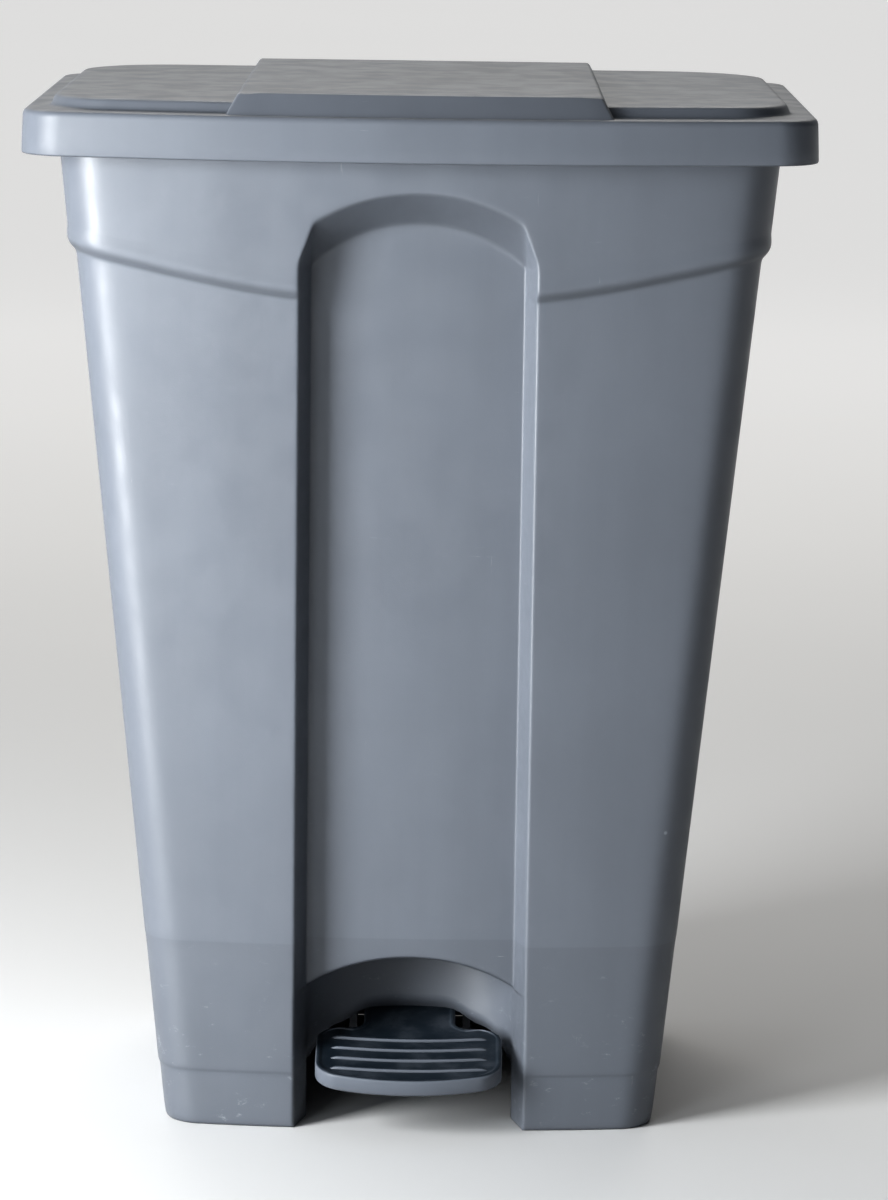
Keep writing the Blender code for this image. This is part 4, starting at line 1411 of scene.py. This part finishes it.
def dress_frame(finishes: dict[str, Material]) -> None:
    """Gives every CAD node that stays the finish of its slot, except the axle brackets, which get a near-black steel
    that is painted shade.

    Args:
        finishes: The material for each slot of the record.
    """
    slots = {entry["node"]: entry["material_slot"] for entry in frame["record"]["subparts"]}
    for name, node in frame["nodes"].items():
        # The axle brackets get the near-black steel, painted shade in place of their zinc.
        material = finishes["shade_painted_steel" if name.startswith("axle_bracket") else slots[name]]
        if not node.material_slots:
            node.data.materials.append(material)
        for slot in node.material_slots:
            slot.material = material


# ---- light, floor and camera


@dataclass(frozen=True)
class Softbox:
    """A rectangular soft light aimed at the bin."""

    name: str
    place: Point
    size: Flat
    watts: float
    colour: Point
    target: Point = (0.0, 0.0, 0.34)

    def build(self) -> None:
        """Adds the light to the scene."""
        light = bpy.data.lights.new(self.name, "AREA")
        light.shape = "RECTANGLE"
        light.size, light.size_y = self.size
        light.energy = self.watts
        light.color = self.colour
        lamp = bpy.data.objects.new(self.name, light)
        lamp.location = self.place
        aim = Vector(self.target) - Vector(self.place)
        lamp.rotation_euler = aim.to_track_quat("-Z", "Y").to_euler()
        lamp.visible_camera = False
        bpy.context.scene.collection.objects.link(lamp)


@dataclass(frozen=True)
class Viewpoint:
    """A long lens a few metres in front of the bin, a little above its lid."""

    place: Point = (0.021, -3.205, 0.882)
    pitch: float = 9.868
    yaw: float = 0.041
    roll: float = 0.789
    lens: float = 197.4

    def build(self) -> None:
        """Adds the camera and makes it the scene's."""
        camera = bpy.data.cameras.new("main_camera")
        camera.sensor_fit = "HORIZONTAL"
        camera.sensor_width = 36.0
        camera.lens = self.lens
        camera.clip_end = 50.0
        obj = bpy.data.objects.new("main_camera", camera)
        obj.matrix_world = Matrix.Translation(self.place)
        for angle, axis in ((self.yaw, "Z"), (90.0 - self.pitch, "X"), (self.roll, "Z")):
            obj.matrix_world @= Matrix.Rotation(math.radians(angle), 4, axis)
        bpy.context.scene.collection.objects.link(obj)
        bpy.context.scene.camera = obj


def build_surroundings() -> None:
    """Adds the surrounding light: pale on the left like a wall with a window, dim on the right."""
    world = bpy.data.worlds.new("studio")
    world.use_nodes = True
    pen = NodePen(world.node_tree)
    ways = pen.split(pen.coordinates("Generated"))
    sides = pen.ramp(ways["X"], -0.8, 0.5, 0.50, 0.02)
    behind = pen.ramp(ways["Y"], 0.25, 0.95, 0.0, 0.42)
    pen.feed(world.node_tree.nodes["Background"], Color=(0.96, 0.98, 1.0), Strength=pen.math("ADD", sides, behind))
    bpy.context.scene.world = world


def build_studio() -> None:
    """Adds the floor, the surrounding light, the soft lights and the camera."""
    bm = bmesh.new()
    bmesh.ops.create_grid(bm, x_segments=8, y_segments=8, size=60.0)
    floor = link_bmesh("studio_floor", bm)
    floor.location.z = -0.0002
    floor.data.materials.append(StudioFloor().build())
    build_surroundings()
    Softbox("window_left", (-1.22, -1.00, 0.56), (0.6, 1.1), 57.0, (0.97, 0.99, 1.0)).build()
    Softbox("front_fill", (-1.2, -2.5, 0.9), (0.7, 1.1), 12.0, (0.92, 0.97, 1.0)).build()
    Softbox("floor_wash", (0.0, 2.2, 2.6), (2.4, 1.2), 34.0, (1.0, 0.96, 0.90), (0.0, 0.2, 0.0)).build()
    bpy.context.scene.view_settings.view_transform = "Standard"
    bpy.context.scene.view_settings.look = "Medium High Contrast"
    Viewpoint().build()


def main() -> None:
    """Builds the pieces in order."""
    logging.basicConfig(level=logging.INFO, format="%(name)s: %(message)s")
    finishes = {finish.name: finish.build() for finish in FINISHES}
    build_studio()
    dress_frame(finishes)
    build_body(finishes["body_plastic"])
    build_lid(finishes["lid_plastic"])
    build_pedal(finishes["pedal_plastic"])


if __name__ == "__main__":
    main()
